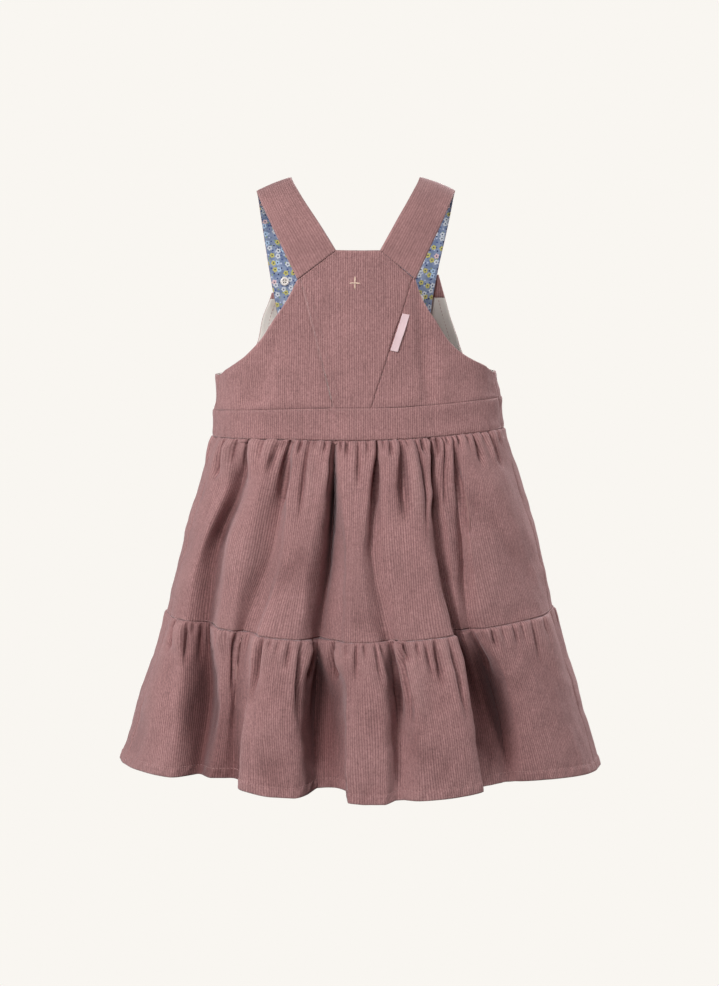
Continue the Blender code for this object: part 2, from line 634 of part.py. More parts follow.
def make_label():
    """Small woven label that stands out of the right V seam and lies on the side panel."""
    across, down = 0.0066, 0.0355
    top, bottom = -3.92, -2.77
    places = []
    for height in np.linspace(top, bottom, 6):
        seam_x = float(straight_cut_x(NECK_TO_BAND, height, "right"))
        places.append(
            [(around_at(seam_x - across * share - 0.0006, height), height + 0.035 * share)
             for share in (1.0, 0.5, 0.0)]
        )
    places = np.array(places)
    points, normals = form(places[..., 0], places[..., 1])
    face = points + normals * (GAP + LINING)
    solid_sheet("label", face, "label tape", LINING)


# ---- build ---------------------------------------------------------------------------------
def clear_scene():
    """Starts from an empty scene."""
    for thing in list(bpy.data.objects):
        bpy.data.objects.remove(thing, do_unlink=True)


clear_scene()
dress = bpy.data.collections.new("pinafore dress")
cutters = bpy.data.collections.new("cutters")
bpy.context.scene.collection.children.link(dress)
bpy.context.scene.collection.children.link(cutters)
shoulders = bpy.data.objects.new("shoulders", None)
dress.objects.link(shoulders)
for finish_name, finish_values in FINISHES.items():
    finish_material(finish_name, finish_values)
make_skirt_and_band()
make_back_bodice()
make_bib()
make_straps()
make_buttons()
make_label()
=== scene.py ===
"""Child's corduroy pinafore dress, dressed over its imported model.

Every cloth piece is a patch of one smooth form.  A place on the form is given by two numbers:
around, in degrees round the body (0 centre back, + towards the wearer's left, 180 in front), and
height, a level number (0 the waist seam, 1 the seam between the tiers, 2 the hem; above the waist
it counts bands of 30 mm, so -1 is the top of the waistband and -5.88 the neck).
"""
import logging
from dataclasses import dataclass, field
from enum import Enum
from typing import NamedTuple, Optional, Sequence

import bpy
import numpy as np
from bpy.types import Material, NodeSocket, Object
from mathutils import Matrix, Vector
from numpy import ndarray as Array


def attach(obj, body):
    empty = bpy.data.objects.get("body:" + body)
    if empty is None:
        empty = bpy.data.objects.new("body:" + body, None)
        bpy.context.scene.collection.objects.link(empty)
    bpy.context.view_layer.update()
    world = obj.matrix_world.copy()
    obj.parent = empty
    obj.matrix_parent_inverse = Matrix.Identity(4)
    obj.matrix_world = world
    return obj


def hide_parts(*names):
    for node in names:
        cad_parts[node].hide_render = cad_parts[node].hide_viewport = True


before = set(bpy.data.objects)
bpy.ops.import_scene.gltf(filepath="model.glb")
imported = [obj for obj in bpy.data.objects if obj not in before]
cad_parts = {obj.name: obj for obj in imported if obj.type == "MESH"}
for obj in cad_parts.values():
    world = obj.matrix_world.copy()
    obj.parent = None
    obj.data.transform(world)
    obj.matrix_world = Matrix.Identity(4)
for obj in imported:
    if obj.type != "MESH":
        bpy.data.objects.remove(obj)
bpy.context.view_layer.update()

log = logging.getLogger("pinafore dress")

MM = 0.001
ROUNDNESS = 2.25             # of the form's level sections: 2 is an ellipse, more is squarer
SIDE_SEAM = 80.0             # degrees round to each side seam
BAND = 0.030                 # depth of the waistband, and one level number above the waist
DROP_PER_FOLD = 0.15         # a crest hangs lower at the hem by this share of its height
CORDUROY_WALL = 0.0013
COTTON_WALL = 0.0007
BEHIND_THE_FACE = -1.0       # a Solidify offset: the wall's thickness lies behind the modelled face
SCREEN_WHITE = 255


class Slot(Enum):
    """The record's material slots."""

    CORDUROY = "corduroy"
    FLORAL = "floral cotton"
    LINING = "lining cotton"
    TAPE = "label tape"
    BUTTON = "button"


class Side(Enum):
    """The wearer's left and right, with the sign of x on that side."""

    LEFT = 1
    RIGHT = -1

    @property
    def word(self) -> str:
        """Name used in piece names."""
        return self.name.lower()


# ---- curves ---------------------------------------------------------------------------------
def smoothstep(value: Array) -> Array:
    """Rises from 0 to 1 as value does, flat at both ends: 3 t^2 - 2 t^3."""
    t = np.clip(value, 0.0, 1.0)
    return t * t * (3 - 2 * t)


def hermite(xs: Array, ys: Array, tangents: Array, at: Array) -> Array:
    """Cubic pieces through the points (xs, ys) with the given slopes there.

    Args:
        xs: rising values, one for each point.
        ys: the values at them, with any further axes.
        tangents: slopes, shaped like ys.
        at: where the curve is read.

    Returns:
        One value, with the further axes of ys, for each of at.
    """
    gaps = np.diff(xs)
    i = np.clip(np.searchsorted(xs, at, side="right") - 1, 0, len(xs) - 2)
    shape = np.shape(at) + (1,) * (ys.ndim - 1)
    t = ((at - xs[i]) / gaps[i]).reshape(shape)
    gap = gaps[i].reshape(shape)
    return (
        (2 * t**3 - 3 * t**2 + 1) * ys[i]
        + (t**3 - 2 * t**2 + t) * gap * tangents[i]
        + (3 * t**2 - 2 * t**3) * ys[i + 1]
        + (t**3 - t**2) * gap * tangents[i + 1]
    )


def curve_through(xs: Sequence[float], ys: Sequence[float], at: Array) -> Array:
    """Smooth curve through points; the slope at each is the parabola's through its neighbours.

    Args:
        xs, ys: the points, xs rising.
        at: where the curve is read.

    Returns:
        The curve's value at each.
    """
    xs, ys, at = np.asarray(xs, float), np.asarray(ys, float), np.asarray(at, float)
    gaps = np.diff(xs).reshape((-1,) + (1,) * (ys.ndim - 1))
    slopes = np.diff(ys, axis=0) / gaps
    tangents = np.empty_like(ys)
    tangents[0], tangents[-1] = slopes[0], slopes[-1]
    tangents[1:-1] = (slopes[:-1] * gaps[1:] + slopes[1:] * gaps[:-1]) / (gaps[1:] + gaps[:-1])
    return hermite(xs, ys, tangents, at)


def steady_curve(xs: Sequence[float], ys: Sequence[float], at: Array) -> Array:
    """Curve through points that never overshoots: level at each peak, harmonic mean of the slopes between.

    Args:
        xs, ys: the points, xs rising.
        at: where the curve is read.

    Returns:
        The curve's value at each.
    """
    xs, ys, at = np.asarray(xs, float), np.asarray(ys, float), np.asarray(at, float)
    gaps = np.diff(xs).reshape((-1,) + (1,) * (ys.ndim - 1))
    slopes = np.diff(ys, axis=0) / gaps
    before, after = slopes[:-1], slopes[1:]
    same_way = before * after > 0
    mean = np.where(same_way, 2 * before * after / np.where(same_way, before + after, 1.0), 0.0)
    tangents = np.concatenate([slopes[:1], mean, slopes[-1:]])
    return hermite(xs, ys, tangents, at)


def along(points: Array, axis: int = 0) -> Array:
    """Distance travelled along a grid or line of points.

    Args:
        points: positions.
        axis: 0 to travel down the rows, 1 across the columns.

    Returns:
        Metres at each point, 0 at the start.
    """
    step = np.linalg.norm(np.diff(points, axis=axis), axis=-1)
    start = np.zeros_like(np.take(step, [0], axis=axis))
    return np.concatenate([start, np.cumsum(step, axis=axis)], axis=axis)


def unit(vectors: Array) -> Array:
    """The vectors at length 1."""
    return vectors / np.maximum(np.linalg.norm(vectors, axis=-1, keepdims=True), 1e-12)


def face_normals(points: Array) -> Array:
    """Outward normals of a grid whose columns run to the wearer's left seen from behind and rows run down."""
    return unit(np.cross(np.gradient(points, axis=1), np.gradient(points, axis=0)))


# ---- the form -------------------------------------------------------------------------------
class Level(NamedTuple):
    """One level of the form: where its edge hangs on four sides, and how far it reaches there."""

    height: float
    back_z: float
    left_z: float
    front_z: float
    right_z: float
    left: float
    right: float
    back: float
    front: float


LEVELS = (
    Level(-5.88, -0.0647, -0.0647, -0.0647, -0.0647, 0.1345, 0.1375, 0.0640, 0.0660),
    Level(-2.0, -0.1810, -0.1826, -0.1810, -0.1797, 0.1330, 0.1350, 0.0790, 0.0800),
    Level(-1.0, -0.2112, -0.2162, -0.2110, -0.2037, 0.1357, 0.1392, 0.0845, 0.0850),
    Level(0.0, -0.2410, -0.2417, -0.2400, -0.2334, 0.1362, 0.1420, 0.0880, 0.0890),
    Level(0.1, -0.2591, -0.2586, -0.2580, -0.2506, 0.1400, 0.1474, 0.0970, 0.0970),
    Level(0.5, -0.3318, -0.3260, -0.3300, -0.3194, 0.1590, 0.1684, 0.1180, 0.1170),
    Level(1.0, -0.4225, -0.4103, -0.4200, -0.4054, 0.1808, 0.1900, 0.1370, 0.1350),
    Level(1.1, -0.4362, -0.4249, -0.4338, -0.4211, 0.1838, 0.1942, 0.1420, 0.1400),
    Level(1.5, -0.4908, -0.4831, -0.4890, -0.4839, 0.2022, 0.2130, 0.1560, 0.1530),
    Level(2.0, -0.5590, -0.5530, -0.5580, -0.5585, 0.2245, 0.2350, 0.1680, 0.1640),
)


WAIST = next(level for level in LEVELS if level.height == 0)
BAND_TOP = -1.0              # level number of the seam between band and bodice


class Form:
    """The smooth body of the dress that every piece is a patch of."""

    heights = [level.height for level in LEVELS]

    def size(self, column: str, height: Array) -> Array:
        """One column of LEVELS, read smoothly at a height."""
        return steady_curve(self.heights, [getattr(level, column) for level in LEVELS], height)

    def place(self, around: Array, height: Array) -> tuple[Array, Array]:
        """Points of the form and its level outward normals.

        A level section is a superellipse: radius = ((|sin|/breadth)^n + (|cos|/depth)^n)^(-1/n).
        Its edge hangs at side_z, blended left to right, moved to middle_z by the square of cos.

        Args:
            around: degrees round the body.
            height: level numbers, shaped like around.

        Returns:
            Positions and normals, each with a last axis of x, y, z.
        """
        angle = np.radians(around)
        sin, cos = np.sin(angle), np.cos(angle)
        breadth = np.where(sin >= 0, self.size("left", height), self.size("right", height))
        depth = np.where(cos >= 0, self.size("back", height), self.size("front", height))
        n = ROUNDNESS
        radius = ((abs(sin) / breadth) ** n + (abs(cos) / depth) ** n) ** (-1 / n)
        x, y = radius * sin, radius * cos
        side_z = (1 + sin) / 2 * self.size("left_z", height) + (1 - sin) / 2 * self.size("right_z", height)
        middle_z = np.where(cos >= 0, self.size("back_z", height), self.size("front_z", height))
        z = side_z + cos**2 * (middle_z - side_z)
        normal_x = np.sign(x) * abs(x / breadth) ** (n - 1) / breadth
        normal_y = np.sign(y) * abs(y / depth) ** (n - 1) / depth
        size = np.hypot(normal_x, normal_y)
        normals = np.stack([normal_x / size, normal_y / size, 0 * x], -1)
        return np.stack([x, y, z], -1), normals

    def around_at(self, x: Array, height: Array, front: bool = False) -> Array:
        """Degrees round the form at which it is x metres from the middle plane.

        Args:
            x: metres, + towards the wearer's left.
            height: level numbers.
            front: True for the front of the body.

        Returns:
            Degrees from the centre back.
        """
        breadth = np.where(np.asarray(x) >= 0, self.size("left", height), self.size("right", height))
        depth = self.size("front" if front else "back", height)
        share = np.minimum(abs(x) / breadth, 1.0)
        y = depth * (1 - share**ROUNDNESS) ** (1 / ROUNDNESS)
        return np.degrees(np.arctan2(x, -y if front else y))

    def height_at(self, z: float) -> float:
        """Level number of a place on the bodice, from how low it is."""
        return -(z - WAIST.back_z) / BAND

    def cloth_across(self, around: Array, height: Array, middle: float) -> Array:
        """Metres of cloth from a middle column, measured level along the form.

        Args:
            around, height: a grid of places.
            middle: degrees of the column to measure from.

        Returns:
            Metres at each place, + towards larger degrees.
        """
        across = np.empty_like(around)
        fine = np.linspace(middle - 130, middle + 130, 521)
        for row in range(len(around)):
            level = float(np.nanmean(height[row]))
            ring, _ = self.place(fine, np.full_like(fine, level))
            travelled = along(ring[:, :2])
            across[row] = np.interp(around[row], fine, travelled - travelled[260])
        return across


FORM = Form()


# ---- the folds of the skirt -----------------------------------------------------------------
STATIONS = (0.04, 0.22, 0.55, 1.0, 1.45, 2.0)


class FoldLine(NamedTuple):
    """A crest, an edge or a floor that runs down the skirt.

    around is its place in degrees, rise how far it stands out from the form and inward how far it
    is pushed straight toward the other half of the dress, both in millimetres, all at the heights
    in STATIONS.  The cloth between two lines passes smoothly from one to the other, so an edge
    whose place lies beyond its neighbour's laps over it.
    """

    name: str
    around: tuple[float, float, float, float, float, float]
    rise: tuple[float, float, float, float, float, float]
    inward: tuple[float, float, float, float, float, float] = (0, 0, 0, 0, 0, 0)


BACK_LINES = (
    FoldLine("right side seam", (-80, -80, -80, -80, -80, -80), (0, 0, 0, 0, 0, 0)),
    FoldLine("right side crest", (-73, -72, -71, -72, -71, -72), (2, 2, 2, 1, 1, -3)),
    FoldLine("right flank", (-61, -61, -61, -61, -62, -64), (2, 3, 2, 0, -2, -9)),
    FoldLine("right outer valley", (-54, -49.5, -46.5, -47.5, -52.5, -52), (1, 3, 3, -3, -16, -17)),
    FoldLine("inner crest", (-50.5, -47, -46, -43.5, -54, -48), (2, -2, -12, -15, -46, -21)),
    FoldLine("inner crest foot", (-46.5, -41.5, -39.5, -41, -47.5, -44.5), (2, 0, -3, -15, -38, -18)),
    FoldLine("valley floor", (-43, -38.5, -37.5, -39.5, -44.5, -40.5), (-1, -9, -15, -20, -42, -14)),
    FoldLine("under the right crest", (-40, -37, -35, -36.5, -40, -37.5), (-4, -9, -12, -16, -32, -10)),
    FoldLine("right crest edge", (-38, -35, -32.5, -35, -37, -37.5), (0, 2, 3, 4, 4, -1)),
    FoldLine("right crest", (-34, -33, -30, -31, -33, -33.5), (3, 5, 8, 9, 11, 7)),
    FoldLine("right crest slope", (-26, -24, -22, -22, -24, -25), (2, 3, 7, 8, 12, 15)),
    FoldLine("beside the centre", (-17.5, -16, -15, -17, -19.5, -19), (4, 5, 5, 7, 10, 17)),
    FoldLine("soft fold", (-12.5, -10.5, -7.5, -13, -15, -13), (-4, -10, -7, -4, -20, 12)),
    FoldLine("centre crest, right", (-9, -6.5, -3, -6, -9.5, -8.5), (3, 4, 5, 6, 8, 24)),
    FoldLine("centre crest", (-2, -1, 0, -1, -1, -2), (3, 4, 6, 6, 11, 23)),
    FoldLine("centre crest edge", (6, 5.5, 3.5, 3.5, 3, 2.5), (3, 4, 5, 5, 9, 18)),
    FoldLine("under the centre crest", (10, 8.5, 5, 6, 4, 2.5), (0, -1, -4, -5, -14, -8)),
    FoldLine(
        "deep fold, right", (11, 10.5, 9.5, 11, 9, 7.5), (-7, -16, -14, -16, -38, -22), (0, 6, 5, 0, 0, 0)
    ),
    FoldLine(
        "deep fold", (12.5, 11.5, 11.5, 14.5, 15.5, 12), (-9, -22, -22, -24, -50, -20), (0, 12, 10, 0, 0, 0)
    ),
    FoldLine("deep fold, left", (13.5, 13.5, 15, 18.5, 18, 15.5), (-1, -1, -8, -7, -6, 3)),
    FoldLine("left crest slope", (17, 17, 19.5, 21.5, 21.5, 18.5), (4, 4, 4, 4, 6, 10)),
    FoldLine("left crest", (26, 25, 25, 29, 28.5, 25), (3, 4, 6, 7, 11, 10)),
    FoldLine("left crest edge", (32, 31, 30, 35, 35.5, 35.5), (3, 4, 4, 4, 4, -9)),
    FoldLine("under the left crest", (33.5, 33, 33, 37.5, 37, 34.5), (-3, -4, -6, -6, -12, -17)),
    FoldLine("left back valley", (35, 35.5, 36.5, 43, 43.5, 40.5), (-6, -11, -13, -12, -25, -31)),
    FoldLine("valley ridge", (45, 44.5, 45, 46, 44.5, 43.5), (3, 4, 3, -3, -19, -28)),
    FoldLine("left valley edge", (53.5, 49.5, 51.5, 50.5, 47, 47), (2, 1, 0, -4, -18, -24)),
    FoldLine("left valley", (57.5, 55, 59, 57, 51, 51), (-3, -5, -5, -6, -12, -22), (4, 15, 22, 22, 40, 14)),
    FoldLine("left flank", (64, 62, 66.5, 67.5, 62, 58), (0, -1, -1, -2, -5, -8)),
    FoldLine("left side ridge", (74, 74, 74, 74, 72, 69), (1, 2, 1, 1, 3, -4)),
    FoldLine("left side seam", (80, 80, 80, 80, 80, 80), (0, 0, 0, 0, 0, 0)),
)
FRONT_LINES = (
    FoldLine("left side seam", (80, 80, 80, 80, 80, 80), (0, 0, 0, 0, 0, 0)),
    FoldLine("left hip", (90, 90, 91, 91, 90, 91), (0, 1, 3, 1, 3, 2)),
    FoldLine("crest 1 edge", (104, 104, 103, 105, 103, 104), (3, 4, 5, 4, 8, 9)),
    FoldLine("under crest 1", (107, 107, 106, 108, 106.5, 107.5), (-2, -3, -4, -4, -6, -8)),
    FoldLine("fold 1", (110, 110, 110, 112, 110, 112), (-6, -8, -11, -8, -14, -20)),
    FoldLine("fold 1 slope", (117, 117, 119, 121, 121, 123), (2, 2, 3, 2, 2, -2)),
    FoldLine("crest 2", (126, 126, 128, 128, 130, 131), (3, 5, 6, 5, 10, 13)),
    FoldLine("crest 2 edge", (134, 133, 134, 133, 136, 137), (3, 4, 5, 4, 7, 8)),
    FoldLine("fold 2", (137, 136, 137, 137, 140, 142), (-7, -9, -11, -8, -14, -16)),
    FoldLine("fold 2 slope", (141, 141, 143, 145, 147, 148), (1, 1, 2, 2, 4, 5)),
    FoldLine("crest 3", (149, 149, 151, 152, 154, 154), (4, 5, 6, 6, 10, 12)),
    FoldLine("crest 3 slope", (157, 158, 159, 160, 161, 161), (2, 3, 2, 3, 4, 4)),
    FoldLine("fold 3", (161, 162, 163, 164, 165, 166), (-8, -8, -9, -6, -10, -12)),
    FoldLine("crest 4", (170, 170, 171, 171, 173, 173), (4, 5, 7, 6, 11, 14)),
    FoldLine("crest 4 edge", (178, 178, 179, 179, 181, 181), (3, 4, 5, 4, 7, 8)),
    FoldLine("under crest 4", (181, 181, 181.5, 182, 184, 184), (-2, -3, -4, -3, -6, -8)),
    FoldLine("fold 4", (184, 184, 186, 187, 188, 189), (-7, -9, -12, -9, -14, -18)),
    FoldLine("fold 4 slope", (189, 190, 192, 193, 195, 197), (1, 1, 2, 2, 3, 0)),
    FoldLine("crest 5", (199, 199, 201, 201, 203, 204), (4, 5, 6, 6, 11, 13)),
    FoldLine("crest 5 edge", (207, 207, 208, 207, 210, 211), (3, 3, 4, 4, 6, 7)),
    FoldLine("fold 5", (210, 210, 211, 211, 214, 216), (-7, -9, -10, -7, -12, -15)),
    FoldLine("crest 6", (221, 221, 222, 222, 225, 226), (4, 5, 6, 5, 9, 10)),
    FoldLine("crest 6 slope", (230, 230, 231, 231, 233, 234), (2, 3, 3, 3, 4, 5)),
    FoldLine("fold 6", (234, 234, 235, 236, 238, 239), (-6, -7, -9, -7, -13, -16)),
    FoldLine("fold 6 slope", (241, 242, 244, 245, 247, 248), (2, 2, 3, 2, 3, 2)),
    FoldLine("crest 7", (252, 252, 253, 254, 256, 256), (3, 4, 5, 4, 8, 8)),
    FoldLine("right dip", (262, 262, 263, 264, 265, 266), (-3, -4, -5, -3, -6, -8)),
    FoldLine("right hip", (272, 272, 272, 272, 272, 272), (0, 1, 2, 1, 1, 1)),
    FoldLine("right side seam", (280, 280, 280, 280, 280, 280), (0, 0, 0, 0, 0, 0)),
)


class Crease(NamedTuple):
    """A short sharp crease that runs down from a gathered seam."""

    around: float
    length: float            # millimetres it runs below the seam
    depth: float             # millimetres
    lean: float              # millimetres its lower end is moved round


WAIST_CREASES = tuple(Crease(*row) for row in (
    (-73.5, 16, 1.2, 1), (-68.5, 38, 2.8, -1), (-64.5, 12, 0.8, -1), (-60.5, 38, 2.6, 4),
    (-56.5, 12, 0.8, -1), (-52.5, 16, 1.6, 1), (-50, 100, 4, -7), (-47.5, 12, 1.8, 1),
    (-45.5, 80, 4, -1), (-43, 22, 3, 1), (-40, 80, 4, -0.5), (-36.5, 16, 3, 1), (-33.5, 100, 4, -1),
    (-28.5, 12, 1, -1), (-25.5, 80, 6.5, 1), (-20, 18, 2.4, 1), (-16, 12, 1.2, -1),
    (-12.5, 80, 2.4, 1), (-6.5, 14, 1.2, -1), (-1.5, 50, 2.4, -1), (5, 16, 2.6, -1),
    (8.5, 14, 2.4, 1), (13.5, 60, 2, -0.5), (17.5, 14, 1.8, -1), (23, 10, 0.8, -1), (26, 84, 3, 1),
    (30, 16, 2.2, 1), (37, 70, 4, -5), (40, 16, 2.2, -1), (42, 34, 4, 0.5), (48.5, 20, 1.2, 1),
    (56.5, 44, 2.6, -1), (62.5, 28, 2, -1), (69.5, 46, 6, 1),
))
TIER_CREASES = tuple(Crease(*row) for row in (
    (-69.5, 16, 1.2, 1), (-64, 42, 1.2, -1), (-60, 12, 0.4, 1), (-57, 20, 1.2, -1),
    (-53, 12, 0.8, -1), (-50, 22, 2, 1), (-47.5, 14, 1, 1), (-46, 70, 2.6, -1),
    (-40, 60, 2.4, -0.5), (-33, 80, 3, -2), (-28.5, 48, 4, 3), (-25, 42, 2.4, -1),
    (-22.5, 18, 1.6, 1), (-18, 24, 4.5, -2), (-16.5, 80, 7, 4), (-14.5, 86, 4.5, 1),
    (-10, 14, 1.2, -1), (-8, 46, 2.2, 1), (-3.5, 16, 1.2, -1), (-0.5, 36, 2.4, 1),
    (3.5, 16, 1.2, -1), (8, 42, 7, 1), (17.5, 44, 4.5, -1), (20.5, 84, 4, -9), (24, 30, 2.2, -1),
    (27.5, 16, 1, 1), (30.5, 14, 1, -1), (33.5, 58, 5, 1), (41, 18, 1.6, -1), (45, 66, 3.5, 1),
    (47.5, 12, 0.8, -1), (51, 16, 1.2, 1), (55.5, 70, 3, -1), (58.5, 48, 2.4, 1), (62, 14, 1.2, 1),
    (65, 42, 4, -1), (71.5, 30, 4.5, 1),
))


WAIST_SEED, TIER_SEED = 11, 23       # of the front's creases below each seam


def front_creases(seed: int) -> tuple[Crease, ...]:
    """Creases below a seam on the front, unevenly spaced and of mixed lengths.

    Args:
        seed: of the spacing, lengths and leans.

    Returns:
        The creases from side seam to side seam.
    """
    rng = np.random.default_rng(seed)
    places = SIDE_SEAM + 2 + np.cumsum(rng.uniform(2.8, 6.0, 45))
    places = places[places < 360 - SIDE_SEAM - 2]
    lengths = rng.choice((14, 18, 24, 34, 48), len(places))
    leans = rng.uniform(-4, 4, len(places))
    return tuple(
        Crease(float(place), float(length), 1.1 + length / 36, float(lean))
        for place, length, lean in zip(places, lengths, leans)
    )


# ---- meshes ---------------------------------------------------------------------------------
def grid_quads(present: Array) -> Array:
    """The cells of a grid whose four corners are present.

    Args:
        present: True where the grid has a point.

    Returns:
        Four corner numbers for each cell.
    """
    rows, cols = present.shape
    index = np.arange(rows * cols).reshape(rows, cols)
    quads = np.stack([index[:-1, :-1], index[:-1, 1:], index[1:, 1:], index[1:, :-1]], -1).reshape(-1, 4)
    return quads[present.ravel()[quads].all(axis=1)]


def mesh_object(
    name: str, points: Array, faces: list[list[int]], materials: Sequence[Material]
) -> Object:
    """New smooth-shaded object at the origin.

    Args:
        name: its words are joined with hyphens.
        points: positions.
        faces: corner numbers of each face.
        materials: the finishes.

    Returns:
        The object.
    """
    name = name.replace("_", "-")
    mesh = bpy.data.meshes.new(name)
    mesh.from_pydata(points.tolist(), [], faces)
    for material in materials:
        mesh.materials.append(material)
    mesh.polygons.foreach_set("use_smooth", np.ones(len(faces), bool))
    piece = bpy.data.objects.new(name, mesh)
    bpy.context.scene.collection.objects.link(piece)
    return piece


def keep_on_points(piece: Object, name: str, values: Array) -> None:
    """Keeps one number for each point of a piece, for its finish to read."""
    attribute = piece.data.attributes.new(name, "FLOAT", "POINT")
    attribute.data.foreach_set("value", values.astype(np.float32))


def cloth_object(
    name: str,
    points: Array,
    cloth: Array,
    wall: float,
    materials: Sequence[Material],
    wear: Optional[Array] = None,
) -> Object:
    """Cloth sheet from a grid, with its threads' coordinates and its thickness.

    Args:
        name: piece name.
        points: grid of positions, NaN where there is no cloth.
        cloth: grid of (across, down) in metres of flat cloth, kept as the UV map "cloth".
        wall: thickness in metres.
        materials: the right side, and the wrong side if it differs.
        wear: grid of -1 to 1: 1 where an edge is rubbed pale, below 0 where folds get painted shade.

    Returns:
        The new object.
    """
    present = ~np.isnan(points).any(axis=-1)
    quads = grid_quads(present)
    used, quads = np.unique(quads, return_inverse=True)
    quads = quads.reshape(-1, 4)
    piece = mesh_object(name, points.reshape(-1, 3)[used], quads.tolist(), materials)
    layer = piece.data.uv_layers.new(name="cloth")
    layer.data.foreach_set("uv", cloth.reshape(-1, 2)[used][quads.ravel()].ravel().astype(np.float32))
    # one value per point: rubbed edges above 0, painted shade of the folds below 0
    wear_and_shade_values = np.zeros(len(used)) if wear is None else wear.ravel()[used]
    keep_on_points(piece, "wear", wear_and_shade_values)
    solidify = piece.modifiers.new("wall", "SOLIDIFY")
    solidify.thickness = wall
    solidify.offset = BEHIND_THE_FACE
    solidify.material_offset = len(materials) - 1
    return piece


def dress_piece(piece: Object, slot: Slot, replaces: Sequence[str] = ()) -> None:
    """Rides a finished piece on the dress, hides the nodes it stands for and reports it with its slot.

    Args:
        piece: the object.
        slot: the record's material slot.
        replaces: names of the nodes it stands for.
    """
    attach(piece, "root")
    if replaces:
        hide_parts(*replaces)
    log.info("%s: %d points, %s", piece.name, len(piece.data.vertices), slot.value)


# ---- shader expressions ---------------------------------------------------------------------
class Signal:
    """A number that varies over a surface, written as an expression."""

    def __init__(self, shader: "Shader", socket: NodeSocket) -> None:
        """Wraps an output socket."""
        self.shader, self.socket = shader, socket

    def maths(self, operation: str, *others: object, swap: bool = False, clamp: bool = False) -> "Signal":
        """One Math node on this signal and others.

        Args:
            operation: the node's operation.
            others: signals or numbers after this one.
            swap: True to put this one last.
            clamp: True to keep the result between 0 and 1.

        Returns:
            The result.
        """
        values = [self, *others]
        if swap:
            values.reverse()
        settings = {"operation": operation, "use_clamp": clamp}
        node = self.shader.node("ShaderNodeMath", settings, dict(enumerate(values)))
        return Signal(self.shader, node.outputs[0])

    def __add__(self, other: object) -> "Signal":
        """Sum."""
        return self.maths("ADD", other)

    def __mul__(self, other: object) -> "Signal":
        """Product."""
        return self.maths("MULTIPLY", other)

    def __sub__(self, other: object) -> "Signal":
        """Difference."""
        return self.maths("SUBTRACT", other)

    def __rsub__(self, other: object) -> "Signal":
        """Difference, with this signal taken from the other."""
        return self.maths("SUBTRACT", other, swap=True)

    def __truediv__(self, other: object) -> "Signal":
        """Quotient."""
        return self.maths("DIVIDE", other)

    def __pow__(self, other: object) -> "Signal":
        """Power."""
        return self.maths("POWER", other)

    __radd__, __rmul__ = __add__, __mul__

    def cosine(self) -> "Signal":
        """Cosine, with this signal in radians."""
        return self.maths("COSINE")

    def clamped(self) -> "Signal":
        """Kept between 0 and 1."""
        return self.maths("ADD", 0.0, clamp=True)

    def step(self, low: float, high: float) -> "Signal":
        """Rises smoothly from 0 to 1 between low and high; falls if low is above high."""
        node = self.shader.node(
            "ShaderNodeMapRange",
            {"interpolation_type": "SMOOTHSTEP"},
            {"Value": self, "From Min": low, "From Max": high, "To Min": 0.0, "To Max": 1.0},
        )
        return Signal(self.shader, node.outputs["Result"])


